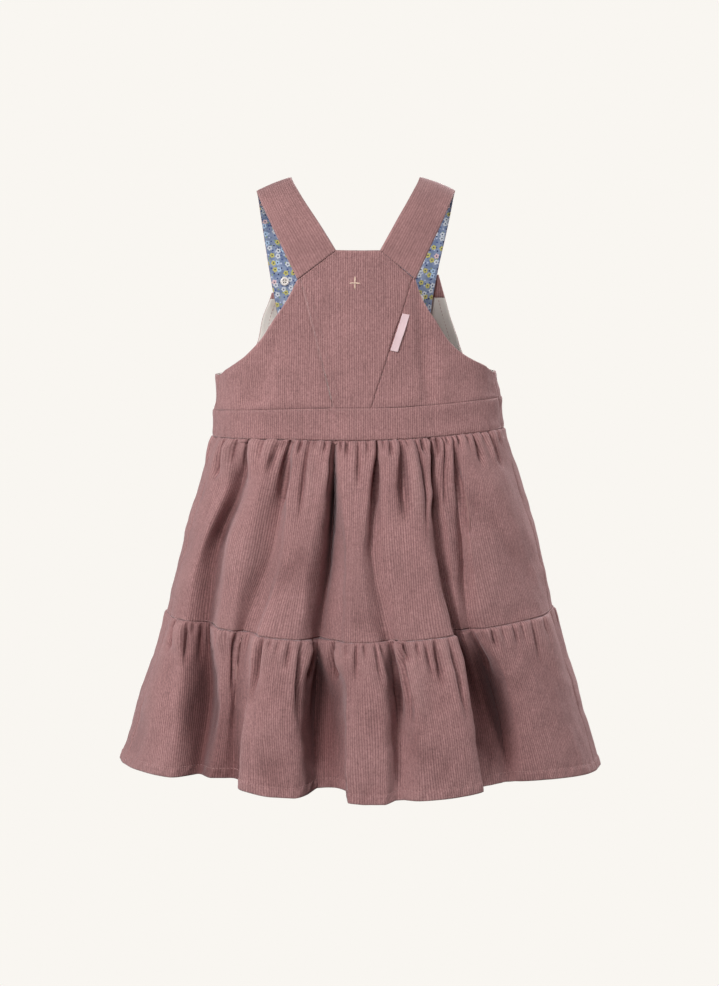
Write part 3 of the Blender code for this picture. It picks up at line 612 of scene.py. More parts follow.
class Shader:
    """One material's nodes, made through node()."""

    def __init__(self, name: str) -> None:
        """Starts a material with a Principled surface.

        Args:
            name: of the material.
        """
        self.material = bpy.data.materials.new(name)
        self.material.use_nodes = True
        self.tree = self.material.node_tree
        self.surface = self.tree.nodes["Principled BSDF"]

    def node(
        self, kind: str, settings: Optional[dict] = None, inputs: Optional[dict] = None
    ) -> bpy.types.Node:
        """Makes a node.

        Args:
            kind: node type.
            settings: attributes, set first; "stops" gives a ramp's (position, colour) pairs.
            inputs: socket name or number to a value, a Signal or an output socket.

        Returns:
            The node.
        """
        node = self.tree.nodes.new(kind)
        for name, value in (settings or {}).items():
            if name == "stops":
                while len(node.color_ramp.elements) < len(value):
                    node.color_ramp.elements.new(1.0)
                for element, (position, colour) in zip(node.color_ramp.elements, value):
                    element.position, element.color = position, (*colour, 1.0)
            elif name == "interpolation":
                node.color_ramp.interpolation = value
            else:
                setattr(node, name, value)
        for name, value in (inputs or {}).items():
            self.join(value, node.inputs[name])
        return node

    def join(self, value: object, socket: NodeSocket) -> None:
        """Links a signal or output to a socket, or sets a plain value on it."""
        value = getattr(value, "socket", value)
        if isinstance(value, NodeSocket):
            self.tree.links.new(value, socket)
        elif isinstance(value, tuple) and len(value) == 3 and socket.type == "RGBA":
            socket.default_value = (*value, 1.0)
        else:
            socket.default_value = value

    def set(self, **values: object) -> None:
        """Sets or links sockets of the surface; underscores in names are spaces."""
        for name, value in values.items():
            self.join(value, self.surface.inputs[name.replace("_", " ")])

    def cloth(self) -> tuple[Signal, Signal]:
        """Metres of flat cloth, from the UV map.

        Returns:
            Across and down.
        """
        uv = self.node("ShaderNodeUVMap", {"uv_map": "cloth"})
        split = self.node("ShaderNodeSeparateXYZ", None, {0: uv.outputs[0]})
        return Signal(self, split.outputs[0]), Signal(self, split.outputs[1])

    def attribute(self, name: str) -> Signal:
        """A number kept on the mesh's points."""
        return Signal(self, self.node("ShaderNodeAttribute", {"attribute_name": name}).outputs["Fac"])

    def vector(self, x: object, y: object, z: object = 0.0) -> NodeSocket:
        """A vector of three signals or numbers."""
        return self.node("ShaderNodeCombineXYZ", None, {0: x, 1: y, 2: z}).outputs[0]

    def place(self) -> NodeSocket:
        """Object coordinates."""
        return self.node("ShaderNodeTexCoord").outputs["Object"]

    def noise(
        self, where: NodeSocket, scale: float, detail: float = 2.0, rough: float = 0.5
    ) -> Signal:
        """Smooth noise around 0.5."""
        inputs = {"Vector": where, "Scale": scale, "Detail": detail, "Roughness": rough}
        return Signal(self, self.node("ShaderNodeTexNoise", None, inputs).outputs["Fac"])

    def mix(
        self, share: object, low: object, high: object, blend: str = "MIX"
    ) -> NodeSocket:
        """Colour mixed from low to high.

        Args:
            share: of high, 0 to 1.
            low, high: colours or sockets.
            blend: the node's blend type.

        Returns:
            The colour's socket.
        """
        settings = {"data_type": "RGBA", "blend_type": blend, "clamp_factor": True}
        node = self.node("ShaderNodeMix", settings, {0: share, 6: low, 7: high})
        return node.outputs[2]

    def bump(self, height: Signal, depth: float, strength: float = 1.0) -> NodeSocket:
        """Normal of a relief: height from 0 to 1 over depth metres."""
        node = self.node("ShaderNodeBump", None, {"Height": height, "Distance": depth, "Strength": strength})
        return node.outputs[0]


Colour = tuple[float, float, float]


def linear(red: int, green: int, blue: int) -> Colour:
    """Scene colour of a screen colour, by the standard screen curve.

    Args:
        red, green, blue: from 0 to 255.

    Returns:
        The colour, each part from 0 to 1.
    """
    values = np.array((red, green, blue)) / SCREEN_WHITE
    values = np.where(values <= 0.04045, values / 12.92, ((values + 0.055) / 1.055) ** 2.4)
    return tuple(float(v) for v in values)


@dataclass(frozen=True)
class Corduroy:
    """Needlecord: round pile ribs on a darker ground with painted shade between them, washed unevenly, rubbed
    pale at its edges and with painted shade in its folds.
    """

    name: str = "mauve corduroy"
    rib: Colour = linear(173, 132, 131)
    # ground: the cloth's own darker base, deepened by painted shade in the valleys between the ribs
    ground: Colour = linear(118, 82, 83)
    rubbed: Colour = linear(196, 158, 156)
    pitch: float = 0.0021
    relief: float = 0.0003
    # painted shade: the dark tint that the folds and creases are multiplied by
    unfaded: Colour = (0.46, 0.37, 0.37)

    def make(self) -> Material:
        """Ribs are a raised cosine of the distance across; broken noise roughens their pile.

        Where the kept value is above 0 the colour goes to rubbed; where it is below 0 it is multiplied by
        a dark tint, which is painted shade in the folds and creases.

        Returns:
            The material.
        """
        s = Shader(self.name)
        across, down = s.cloth()
        wander = s.noise(s.vector(across * 60, down * 14), 1.0, 2.0) - 0.5
        phase = (across / self.pitch + wander * 1.1) * (2 * np.pi)
        rib = (phase.cosine() * 0.5 + 0.5) ** 0.6
        pile = s.noise(s.vector(across * 800, down * 520), 1.0, 3.0, 0.7)
        fleck = s.noise(s.vector(across * 430, down * 210), 1.0, 2.0, 0.6)
        streak = s.noise(s.vector(across * 400, down * 24), 1.0, 3.0, 0.65)
        wash = s.noise(s.place(), 26.0, 4.0, 0.62)
        blotch = s.noise(s.place(), 9.0, 2.0, 0.5)
        # from ground to rib colour across each rib: the ground's own colour with painted shade in the valleys
        full = (rib * (0.18 + fleck * 0.80) + (pile - 0.5) * 1.7 + 0.24).clamped()
        colour = s.mix(full, self.ground, self.rib)
        shade = 0.31 + streak * 0.56 + fleck * 0.34 + wash * 0.38 + blotch * 0.20
        colour = s.mix(1.0, colour, s.vector(shade, shade, shade), "MULTIPLY")
        wear_and_shade_values = s.attribute("wear")
        # painted shade: the colour is darkened in folds and creases where the kept value is below 0
        colour = s.mix((wear_and_shade_values * -1.0).clamped(), colour, self.unfaded, "MULTIPLY")
        # above 0: rubbed pale at the edges, and paler where the gathers stand out
        wear = wear_and_shade_values * (0.35 + pile * 0.5)
        colour = s.mix(wear.clamped(), colour, self.rubbed)
        relief = rib * 0.8 + pile * 0.35 + wash * 0.3
        s.set(
            Base_Color=colour, Roughness=0.92, Sheen_Weight=0.35, Sheen_Roughness=0.45,
            Sheen_Tint=(*linear(225, 205, 210), 1.0), Specular_IOR_Level=0.2,
            Normal=s.bump(relief, self.relief, 0.8),
        )
        return s.material


@dataclass(frozen=True)
class CorduroyBack:
    """Wrong side of the corduroy: a plain twill ground, paler than the pile."""

    name: str = "corduroy wrong side"
    light: Colour = linear(176, 136, 133)
    dark: Colour = linear(142, 102, 101)

    def make(self) -> Material:
        """Twill lines are a cosine of across plus down, broken by noise.

        Returns:
            The material.
        """
        s = Shader(self.name)
        across, down = s.cloth()
        twill = ((across + down) * (2 * np.pi / 0.0011)).cosine() * 0.5 + 0.5
        slub = s.noise(s.vector(across * 700, down * 300), 1.0, 2.0)
        wash = s.noise(s.place(), 24.0, 3.0, 0.6)
        colour = s.mix((twill * 0.4 + slub * 0.6 + (wash - 0.5) * 0.6).clamped(), self.dark, self.light)
        s.set(
            Base_Color=colour, Roughness=0.95, Sheen_Weight=0.15, Specular_IOR_Level=0.15,
            Normal=s.bump(twill * 0.5 + slub * 0.5, 0.0002, 0.6),
        )
        return s.material


@dataclass(frozen=True)
class PlainCotton:
    """Plain-weave cotton, for the lining."""

    name: str = "off-white cotton"
    light: Colour = linear(232, 228, 222)
    dark: Colour = linear(205, 199, 192)
    thread: float = 0.0007

    def make(self) -> Material:
        """Weave is the product of two cosines, one across and one down.

        Returns:
            The material.
        """
        s = Shader(self.name)
        across, down = s.cloth()
        turn = 2 * np.pi / self.thread
        weave = ((across * turn).cosine() * (down * turn).cosine()) * 0.5 + 0.5
        slub = s.noise(s.vector(across * 400, down * 60), 1.0, 3.0)
        soft = s.noise(s.place(), 40.0, 3.0, 0.6)
        colour = s.mix((weave * 0.3 + slub * 0.4 + soft * 0.3).clamped(), self.dark, self.light)
        s.set(
            Base_Color=colour, Roughness=0.88, Sheen_Weight=0.1, Specular_IOR_Level=0.2,
            Normal=s.bump(weave * 0.4 + slub * 0.3 + soft * 0.8, 0.0003, 0.7),
        )
        return s.material


@dataclass(frozen=True)
class FloralCotton:
    """Blue-grey cotton with scattered small flowers, buds and dots."""

    name: str = "floral cotton"
    ground: Colour = linear(146, 160, 188)
    shade: Colour = linear(118, 134, 168)
    navy: Colour = linear(44, 52, 92)
    flower: float = 0.0076
    bud: float = 0.0040

    def scatter(self, s: Shader, size: float, seed: float) -> tuple[Signal, Signal, NodeSocket]:
        """Spots scattered one to a cell: a Voronoi pattern of nearest points.

        Args:
            s: the material's shader.
            size: of a cell in metres.
            seed: shifts the pattern.

        Returns:
            Distance to the nearest spot's middle in cells, the angle there, and the spot's own random colour.
        """
        across, down = s.cloth()
        where = s.vector(across / size + seed, down / size + seed * 1.7)
        inputs = {"Vector": where, "Scale": 1.0, "Randomness": 0.72}
        cell = s.node("ShaderNodeTexVoronoi", {"voronoi_dimensions": "2D"}, inputs)
        middle = cell.outputs["Position"]
        away = s.node("ShaderNodeVectorMath", {"operation": "SUBTRACT"}, {0: where, 1: middle})
        split = s.node("ShaderNodeSeparateXYZ", None, {0: away.outputs[0]})
        turn = Signal(s, split.outputs[1]).maths("ARCTAN2", Signal(s, split.outputs[0]))
        return Signal(s, cell.outputs["Distance"]), turn, cell.outputs["Color"]

    def make(self) -> Material:
        """A five-petal flower fills radius < 0.32 + 0.05 cos(5 turn) of its cell, with a dark middle.

        Returns:
            The material.
        """
        s = Shader(self.name)
        across, down = s.cloth()
        weave = s.noise(s.vector(across * 900, down * 900), 1.0, 2.0)
        patch = s.noise(s.vector(across * 160, down * 160), 1.0, 2.0)
        colour = s.mix(patch.step(0.4, 0.62), self.ground, self.shade)
        reach, _, pick = self.scatter(s, self.bud, 3.1)
        choice = s.node("ShaderNodeSeparateColor", None, {0: pick})
        bud = s.node("ShaderNodeValToRGB", {"interpolation": "CONSTANT", "stops": (
            (0.0, linear(70, 84, 140)), (0.3, linear(150, 170, 120)), (0.5, linear(196, 206, 230)),
            (0.75, linear(44, 52, 92)),
        )}, {0: choice.outputs[0]}).outputs[0]
        petals = reach.step(0.24, 0.17)
        colour = s.mix(petals, colour, bud)
        reach, turn, pick = self.scatter(s, self.flower, 0.4)
        choice = s.node("ShaderNodeSeparateColor", None, {0: pick})
        petal = s.node("ShaderNodeValToRGB", {"interpolation": "CONSTANT", "stops": (
            (0.0, linear(198, 192, 112)), (0.34, linear(212, 219, 228)), (0.6, linear(226, 196, 200)),
            (0.78, linear(176, 200, 226)), (0.9, linear(198, 192, 112)),
        )}, {0: choice.outputs[0]}).outputs[0]
        rim = (turn * 5).cosine() * 0.05 + 0.32
        petals = (rim - reach).step(-0.02, 0.03)
        colour = s.mix(petals, colour, petal)
        colour = s.mix(reach.step(0.12, 0.07), colour, self.navy)
        s.set(
            Base_Color=colour, Roughness=0.85, Sheen_Weight=0.08, Specular_IOR_Level=0.2,
            Normal=s.bump(weave, 0.0002, 0.6),
        )
        return s.material


@dataclass(frozen=True)
class WovenTape:
    """Pale pink satin tape with fine ribs across it."""

    name: str = "pink woven tape"
    light: Colour = linear(240, 214, 218)
    dark: Colour = linear(218, 186, 192)

    def make(self) -> Material:
        """Ribs are a cosine of the distance down.

        Returns:
            The material.
        """
        s = Shader(self.name)
        across, down = s.cloth()
        rib = (down * (2 * np.pi / 0.0006)).cosine() * 0.5 + 0.5
        uneven = s.noise(s.vector(across * 500, down * 150), 1.0, 2.0)
        s.set(
            Base_Color=s.mix((rib * 0.4 + uneven * 0.6).clamped(), self.dark, self.light),
            Roughness=0.55, Sheen_Weight=0.1, Normal=s.bump(rib * 0.6 + uneven * 0.4, 0.00015, 0.6),
        )
        return s.material


@dataclass(frozen=True)
class Thread:
    """Sewing thread, plied, a little paler than the cloth."""

    name: str = "mauve thread"
    light: Colour = linear(190, 150, 148)
    dark: Colour = linear(150, 108, 107)

    def make(self) -> Material:
        """Fine mottling along the thread.

        Returns:
            The material.
        """
        s = Shader(self.name)
        ply = s.noise(s.place(), 1800.0, 2.0)
        s.set(
            Base_Color=s.mix(ply, self.dark, self.light), Roughness=0.6, Sheen_Weight=0.2,
            Normal=s.bump(ply, 0.0001, 0.6),
        )
        return s.material


@dataclass(frozen=True)
class ButtonResin:
    """Off-white resin with a faint cloudy grain and a satin polish."""

    name: str = "off-white resin"
    light: Colour = linear(248, 245, 241)
    dark: Colour = linear(230, 225, 219)
    # painted shade for the insides of the four holes
    hole_shade: Colour = linear(40, 36, 44)

    def make(self) -> Material:
        """Cloud noise in colour, fine noise in the polish, and painted shade in the holes.

        Returns:
            The material.
        """
        s = Shader(self.name)
        cloud = s.noise(s.place(), 220.0, 3.0, 0.6)
        scuff = s.noise(s.place(), 900.0, 3.0)
        # painted shade: the holes are darkened where the kept hole value is 1
        s.set(
            Base_Color=s.mix(s.attribute("hole"), s.mix(cloud, self.dark, self.light), self.hole_shade),
            Roughness=scuff * 0.2 + 0.25, Coat_Weight=0.3, Coat_Roughness=0.2,
            Normal=s.bump(cloud * 0.5 + scuff * 0.5, 0.00008, 0.5),
        )
        return s.material


class Cloths:
    """All the finishes of the dress, made once."""

    def __init__(self) -> None:
        """Makes each material."""
        self.corduroy = Corduroy().make()
        # less contrast between ribs and ground, so less painted shade between the ribs, and lower ribs
        flatter = {"rib": linear(166, 126, 125), "ground": linear(135, 98, 98), "relief": 0.0002}
        self.pressed_corduroy = Corduroy("pressed mauve corduroy", **flatter).make()
        self.wrong_side = CorduroyBack().make()
        self.lining = PlainCotton().make()
        self.floral = FloralCotton().make()
        self.tape = WovenTape().make()
        self.thread = Thread().make()
        self.motif = Thread("cream thread", linear(252, 226, 204), linear(236, 202, 182)).make()
        self.button_thread = Thread("white thread", linear(238, 234, 226), linear(214, 208, 198)).make()
        self.button = ButtonResin().make()


# ---- shared shaping -------------------------------------------------------------------------
def softness(points: Array, size: float, height: float, seed: int) -> Array:
    """Gentle unevenness of cloth: a sum of twelve plane waves of about one size, seeded.

    Args:
        points: positions.
        size: wavelength in metres.
        height: rough height of the result in metres.
        seed: of the waves' directions.

    Returns:
        How far each point stands out.
    """
    rng = np.random.default_rng(seed)
    out = np.zeros(points.shape[:-1])
    for _ in range(12):
        way = unit(rng.normal(size=3)) * (2 * np.pi / (size * rng.uniform(0.7, 1.5)))
        out += np.sin(points @ way + rng.uniform(0, 6.28))
    return out * height / 3.5


class Edge(NamedTuple):
    """How an edge of a piece is finished: how far it turns in, over what distance, and how rubbed."""

    turn: float = 0.0
    over: float = 0.0015
    rubbed: float = 0.0


PLAIN_EDGE = Edge()
SEAM_EDGE = Edge(0.0007, 0.0013, 0.30)
TURNED_EDGE = Edge(0.0012, 0.0022, 0.55)


def finish_edges(
    points: Array, normals: Array, top: Edge, bottom: Edge, first: Edge, last: Edge
) -> tuple[Array, Array]:
    """Turns the four edges of a grid in, and says how rubbed each place is.

    At distance d from an edge the cloth sinks by turn * exp(-(d / over)^2).

    Args:
        points: grid of positions.
        normals: outward normals.
        top, bottom: finish of the first and last row.
        first, last: finish of the first and last column.

    Returns:
        The shaped points, and the wear from 0 to 1.
    """
    down, across = along(points, 0), along(points, 1)
    distances = (down, down[-1:] - down, across, across[:, -1:] - across)
    sink, wear = np.zeros(points.shape[:-1]), np.zeros(points.shape[:-1])
    for distance, edge in zip(distances, (top, bottom, first, last)):
        near = np.exp(-((distance / edge.over) ** 2))
        sink = np.maximum(sink, edge.turn * near)
        wear = np.maximum(wear, edge.rubbed * np.exp(-((distance / (edge.over * 0.8)) ** 2)))
    return points - normals * sink[..., None], wear


def stitch_line(grid: Array, distance: float, from_top: bool = False) -> tuple[Array, Array]:
    """Line across a grid at one distance from an edge.

    Args:
        grid: positions.
        distance: metres up from the last row, or down from the first.
        from_top: True to measure down from the first row.

    Returns:
        The line's points and the cloth's normals there.
    """
    travelled, normals = along(grid, 0), face_normals(grid)
    if not from_top:
        travelled, grid, normals = (travelled[-1:] - travelled)[::-1], grid[::-1], normals[::-1]
    before = np.clip((travelled <= distance).sum(axis=0) - 1, 0, len(grid) - 2)
    cols = np.arange(grid.shape[1])
    start, end = travelled[before, cols], travelled[before + 1, cols]
    share = ((distance - start) / np.maximum(end - start, 1e-9))[:, None]
    return grid[before, cols] * (1 - share) + grid[before + 1, cols] * share, normals[before, cols]


# ---- sewing ---------------------------------------------------------------------------------
@dataclass
class Sewing:
    """Rows of stitches, gathered into one piece for each part of the dress."""

    name: str
    length: float = 0.0026
    gap: float = 0.0009
    thick: float = 0.00042
    points: list = field(default_factory=list)
    faces: list = field(default_factory=list)

    def stitch(self, starts: Array, ends: Array, outward: Array, thick: float) -> None:
        """Adds straight stitches: six-sided threads that dip into the cloth at both ends.

        Args:
            starts, ends: ends of each stitch.
            outward: the cloth's normal at each.
            thick: width of the thread.
        """
        ring = np.radians(np.arange(6) * 60)
        share = np.array([0.0, 0.2, 0.8, 1.0])
        size = np.array([0.35, 1.0, 1.0, 0.35])
        lift = np.array([-0.35, 0.35, 0.35, -0.35])
        span = ends - starts
        way, outward = unit(span), unit(outward)
        aside = np.cross(way, outward)
        centre = starts[:, None] + span[:, None] * share[None, :, None]
        centre = centre + outward[:, None] * (lift * thick)[None, :, None]
        across = np.cos(ring)[None, None, :, None] * aside[:, None, None]
        up = np.sin(ring)[None, None, :, None] * outward[:, None, None]
        tube = centre[:, :, None] + (across + up * 0.8) * (size * thick / 2)[None, :, None, None]
        base = sum(len(p) for p in self.points)
        index = np.arange(24).reshape(4, 6)
        after = np.roll(index, -1, axis=1)
        sides = np.stack([index[:-1], index[1:], after[1:], after[:-1]], -1).reshape(-1, 4)
        caps = np.array([[0, 1, 2, 3], [0, 3, 4, 5], [21, 20, 19, 18], [23, 22, 21, 18]])
        one = np.concatenate([sides, caps])
        self.points.append(tube.reshape(-1, 3))
        self.faces.append((one[None] + (base + 24 * np.arange(len(starts)))[:, None, None]).reshape(-1, 4))

    def run(self, path: Array, normals: Array) -> None:
        """Sews a row of stitches.

        Args:
            path: points along the row.
            normals: the cloth's outward normals there.
        """
        travelled = along(path)
        pitch = self.length + self.gap
        count = int((travelled[-1] - self.gap) / pitch)
        begin = (travelled[-1] - count * pitch) / 2 + np.arange(count) * pitch

        def at(values: Array, where: Array) -> Array:
            """Values along the path, read at distances."""
            return np.stack([np.interp(where, travelled, values[:, k]) for k in range(3)], -1)

        self.stitch(at(path, begin), at(path, begin + self.length), at(normals, begin), self.thick)

    def finish(self, material: Material, slot: Slot) -> Object:
        """Makes the piece.

        Args:
            material: the thread's finish.
            slot: the record's material slot.

        Returns:
            The object.
        """
        faces = np.concatenate(self.faces).tolist()
        piece = mesh_object(self.name, np.concatenate(self.points), faces, [material])
        dress_piece(piece, slot)
        return piece


# ---- skirt ----------------------------------------------------------------------------------
class HalfPattern(NamedTuple):
    """Where a half of the skirt and band lies in degrees, its folds, and its tiers' cuts in metres."""

    start: float
    end: float
    middle: float
    lines: tuple[FoldLine, ...]
    upper_cut: tuple[float, float]
    lower_cut: tuple[float, float]


class Half(Enum):
    """Back or front of the skirt and band."""

    BACK = HalfPattern(-SIDE_SEAM, SIDE_SEAM, 0.0, BACK_LINES, (0.60, 0.182), (0.80, 0.150))
    FRONT = HalfPattern(SIDE_SEAM, 360 - SIDE_SEAM, 180.0, FRONT_LINES, (0.66, 0.182), (0.88, 0.150))

    @property
    def word(self) -> str:
        """Name used in piece names."""
        return self.name.lower()


@dataclass
class Tier:
    """One gathered tier of the skirt, back or front, cut as a rectangle."""

    half: Half
    name: str
    top: float
    bottom: float
    drop: float                       # metres from seam to seam
    creases: tuple[Crease, ...]
    flat: tuple[float, float]
    hem: bool = False
    columns: int = 400
    crease_width: float = 0.0015

    def rows(self) -> Array:
        """Distances below the gathered seam, closest together at both seams."""
        return np.concatenate([
            np.linspace(0, 0.010, 9), np.linspace(0.0115, 0.046, 20),
            np.linspace(0.050, self.drop - 0.018, 24), np.linspace(self.drop - 0.0155, self.drop, 12),
        ])

    def folded(self) -> tuple[Array, Array, Array]:
        """The tier with its large folds.

        Across the cloth, place and rise pass through the fold lines on steady curves; the cloth
        between two lines is the mean length between them over the stations.

        Returns:
            Positions, degrees round and metres the folds stand out, each a grid.
        """
        lines = self.half.value.lines
        heights = self.top + self.rows() / self.drop * (self.bottom - self.top)
        arounds, rises, inwards = (
            np.array([getattr(line, part) for line in lines]).T * scale
            for part, scale in (("around", 1.0), ("rise", MM), ("inward", MM))
        )
        facing = np.array((0.0, 1.0 if self.half is Half.BACK else -1.0, 0.0))
        stations = np.array(STATIONS)
        spots, normals = FORM.place(arounds, np.broadcast_to(stations[:, None], arounds.shape))
        cloth = along((spots + normals * rises[..., None] - facing * inwards[..., None])[1:], 1).mean(axis=0)
        where = np.linspace(0, cloth[-1], self.columns)
        at = np.clip(heights, STATIONS[0], STATIONS[-1])
        around = steady_curve(cloth, curve_through(STATIONS, arounds, at).T, where).T
        rise = steady_curve(cloth, curve_through(STATIONS, rises, at).T, where).T
        inward = steady_curve(cloth, curve_through(STATIONS, inwards, at).T, where).T
        height = np.broadcast_to(heights[:, None], around.shape)
        start = smoothstep(height / 0.035)
        rise, inward = rise * start, inward * start
        points, outward = FORM.place(around, height)
        points = points + outward * rise[..., None] - facing * inward[..., None]
        points[..., 2] -= DROP_PER_FOLD * rise * np.clip(height - 1, 0, 1)
        return points, around, rise - inward

    def gathers(self, points: Array, around: Array) -> Array:
        """How far the gathers stand out below the seam.

        Each crease is a trough, -1.9 depths * exp(-(distance / width)^1.5), wider the deeper it is,
        that widens and leans as it runs down; the cloth on the side it leans from rolls over it, as
        0.6 depths * exp(-((distance - 2.4 widths) / 1.9 widths)^2).  It starts close to the seam, is
        deepest from 0.3 of its length and fades out from 0.45.  Between two creases the cloth puffs
        out as the sine of the way across, to the power 0.7, less near the side seams.

        Args:
            points: grid of positions.
            around: degrees round at each.

        Returns:
            Metres, a grid.
        """
        row = 10
        across = along(points[row, :, :2])
        down = self.rows()[:, None]
        ordered = np.maximum.accumulate(around[row])
        places = np.interp([crease.around for crease in self.creases], ordered, across)
        out = np.zeros(around.shape)
        begin = smoothstep(down / 0.0025)
        for place, crease in zip(places, self.creases):
            share = np.clip(down / (crease.length * MM), 0, 1)
            width = self.crease_width * (0.75 + 0.9 * share) * (0.70 + 0.20 * crease.depth)
            from_line = (across - place - crease.lean * MM * share ** 1.3) / width
            trough = np.exp(-(abs(from_line) ** 1.5))
            roll = np.exp(-(((from_line + 2.4 * np.sign(crease.lean)) / 1.9) ** 2))
            lasting = begin * (0.3 + 0.7 * smoothstep(share / 0.3)) * (1 - smoothstep(share * 1.8 - 0.8))
            out += crease.depth * MM * (0.6 * roll * smoothstep(share * 4) - 1.9 * trough) * lasting
        from_seam = np.minimum(across, across[-1] - across)
        out = out * smoothstep(from_seam / 0.006)
        bounds = np.concatenate([[0.0], places, across[-1:]])
        for start, end in zip(bounds[:-1], bounds[1:]):
            gap = end - start
            way = np.clip((across - start) / gap, 0, 1)
            puff = min(0.24 * gap, 0.0030) * np.sin(np.pi * way) ** 0.7
            out += puff * begin * (1 - smoothstep(down / (0.012 + 1.3 * gap))) * smoothstep(from_seam / 0.040)
        return out

    def hem_relief(self, points: Array) -> Array:
        """The turned hem stands proud below its stitch line, with the slight twist of a washed hem.

        It is a step, less a groove exp(-(d / 0.8 mm)^2) at the stitches, plus a slanting sine that is
        strongest 6 mm up.

        Args:
            points: grid of positions.

        Returns:
            Metres, a grid.
        """
        up = along(points)[-1:] - along(points)
        across = along(points[-1])
        step = 0.0005 * (1 - smoothstep((up - 0.0085) / 0.0015))
        groove = -0.0006 * np.exp(-(((up - 0.0092) / 0.0008) ** 2))
        twist = np.sin(2 * np.pi * (across / 0.0125 + up / 0.021))
        rope = 0.00035 * twist * np.exp(-(((up - 0.006) / 0.006) ** 2))
        return step + groove + rope

    def shape(self) -> tuple[Array, Array, Array]:
        """The finished piece.

        Flat cloth between two columns is the fourth-power mean of the gap over the rows, so that
        the cords are crowded by the gathers rather than stretched by the folds.  Gathers fade out on
        the floor of the deepest folds, from 26 to 40 mm in.  The third grid rises where the gathers
        stand out, by up to 0.25, and at rubbed edges, and falls, as painted shade, in folds more than
        5 mm in and, by up to 0.35, in the creases.

        Returns:
            Grid of positions, metres of flat cloth across at each column, and grid of wear.
        """
        points, around, rise = self.folded()
        gaps = np.linalg.norm(np.diff(points, axis=1), axis=-1)
        across = np.concatenate([[0.0], np.cumsum((gaps ** 4).mean(axis=0) ** 0.25)])
        normals = face_normals(points)
        out = self.gathers(points, around)
        out += softness(points, 0.060, 0.0010, 3) + softness(points, 0.019, 0.00035, 4)
        out *= smoothstep(self.rows()[:, None] / 0.0015) * (1 - smoothstep((-rise - 0.026) / 0.014))
        if self.hem:
            out += self.hem_relief(points)
        points = points + normals * out[..., None]
        bottom = Edge(0.0002, 0.001, 0.55) if self.hem else SEAM_EDGE
        points, wear = finish_edges(points, normals, Edge(0.0004, 0.0010, 0.2), bottom, SEAM_EDGE, SEAM_EDGE)
        # paler where the gathers stand out
        crests = np.clip(out / 0.0030, 0, 1) * 0.25
        # painted shade: darker in folds more than 5 mm in, and in the gathers' creases
        fold_shade = smoothstep((-0.005 - rise) / 0.033) + 0.35 * smoothstep((-out - 0.0004) / 0.0022)
        return points, across, np.clip(wear + crests - fold_shade, -1, 1)

    def build(self, cloths: Cloths) -> Array:
        """Makes the piece.

        Args:
            cloths: the finishes.

        Returns:
            Its grid of positions.
        """
        points, across, wear = self.shape()
        across = np.broadcast_to(across, wear.shape)
        down = np.broadcast_to(self.rows()[:, None], wear.shape)
        both = [cloths.corduroy, cloths.wrong_side]
        piece = cloth_object(self.name, points, np.stack([across, down], -1), CORDUROY_WALL, both, wear)
        dress_piece(piece, Slot.CORDUROY, [self.name])
        return points


@dataclass
class Skirt:
    """Two gathered tiers, each in a back and a front, with a stitched hem."""

    cloths: Cloths
    upper_drop: float = 0.1815
    lower_drop: float = 0.1370
    hem_stitch: float = 0.0092
    seam_stitch: float = 0.0016

    def build(self) -> None:
        """Makes the four pieces and their stitch rows."""
        sewing = Sewing("skirt_stitches")
        for half, waist, tier in (
            (Half.BACK, WAIST_CREASES, TIER_CREASES),
            (Half.FRONT, front_creases(WAIST_SEED), front_creases(TIER_SEED)),
        ):
            upper = Tier(
                half, f"skirt_upper_{half.word}", 0.0, 1.0, self.upper_drop, waist, half.value.upper_cut
            ).build(self.cloths)
            lower = Tier(
                half, f"skirt_lower_{half.word}", 1.0, 2.0, self.lower_drop, tier, half.value.lower_cut,
                hem=True,
            ).build(self.cloths)
            for grid, distance in ((upper, self.seam_stitch), (lower, self.hem_stitch)):
                sewing.run(*stitch_line(grid, distance))
        sewing.finish(self.cloths.thread, Slot.CORDUROY)


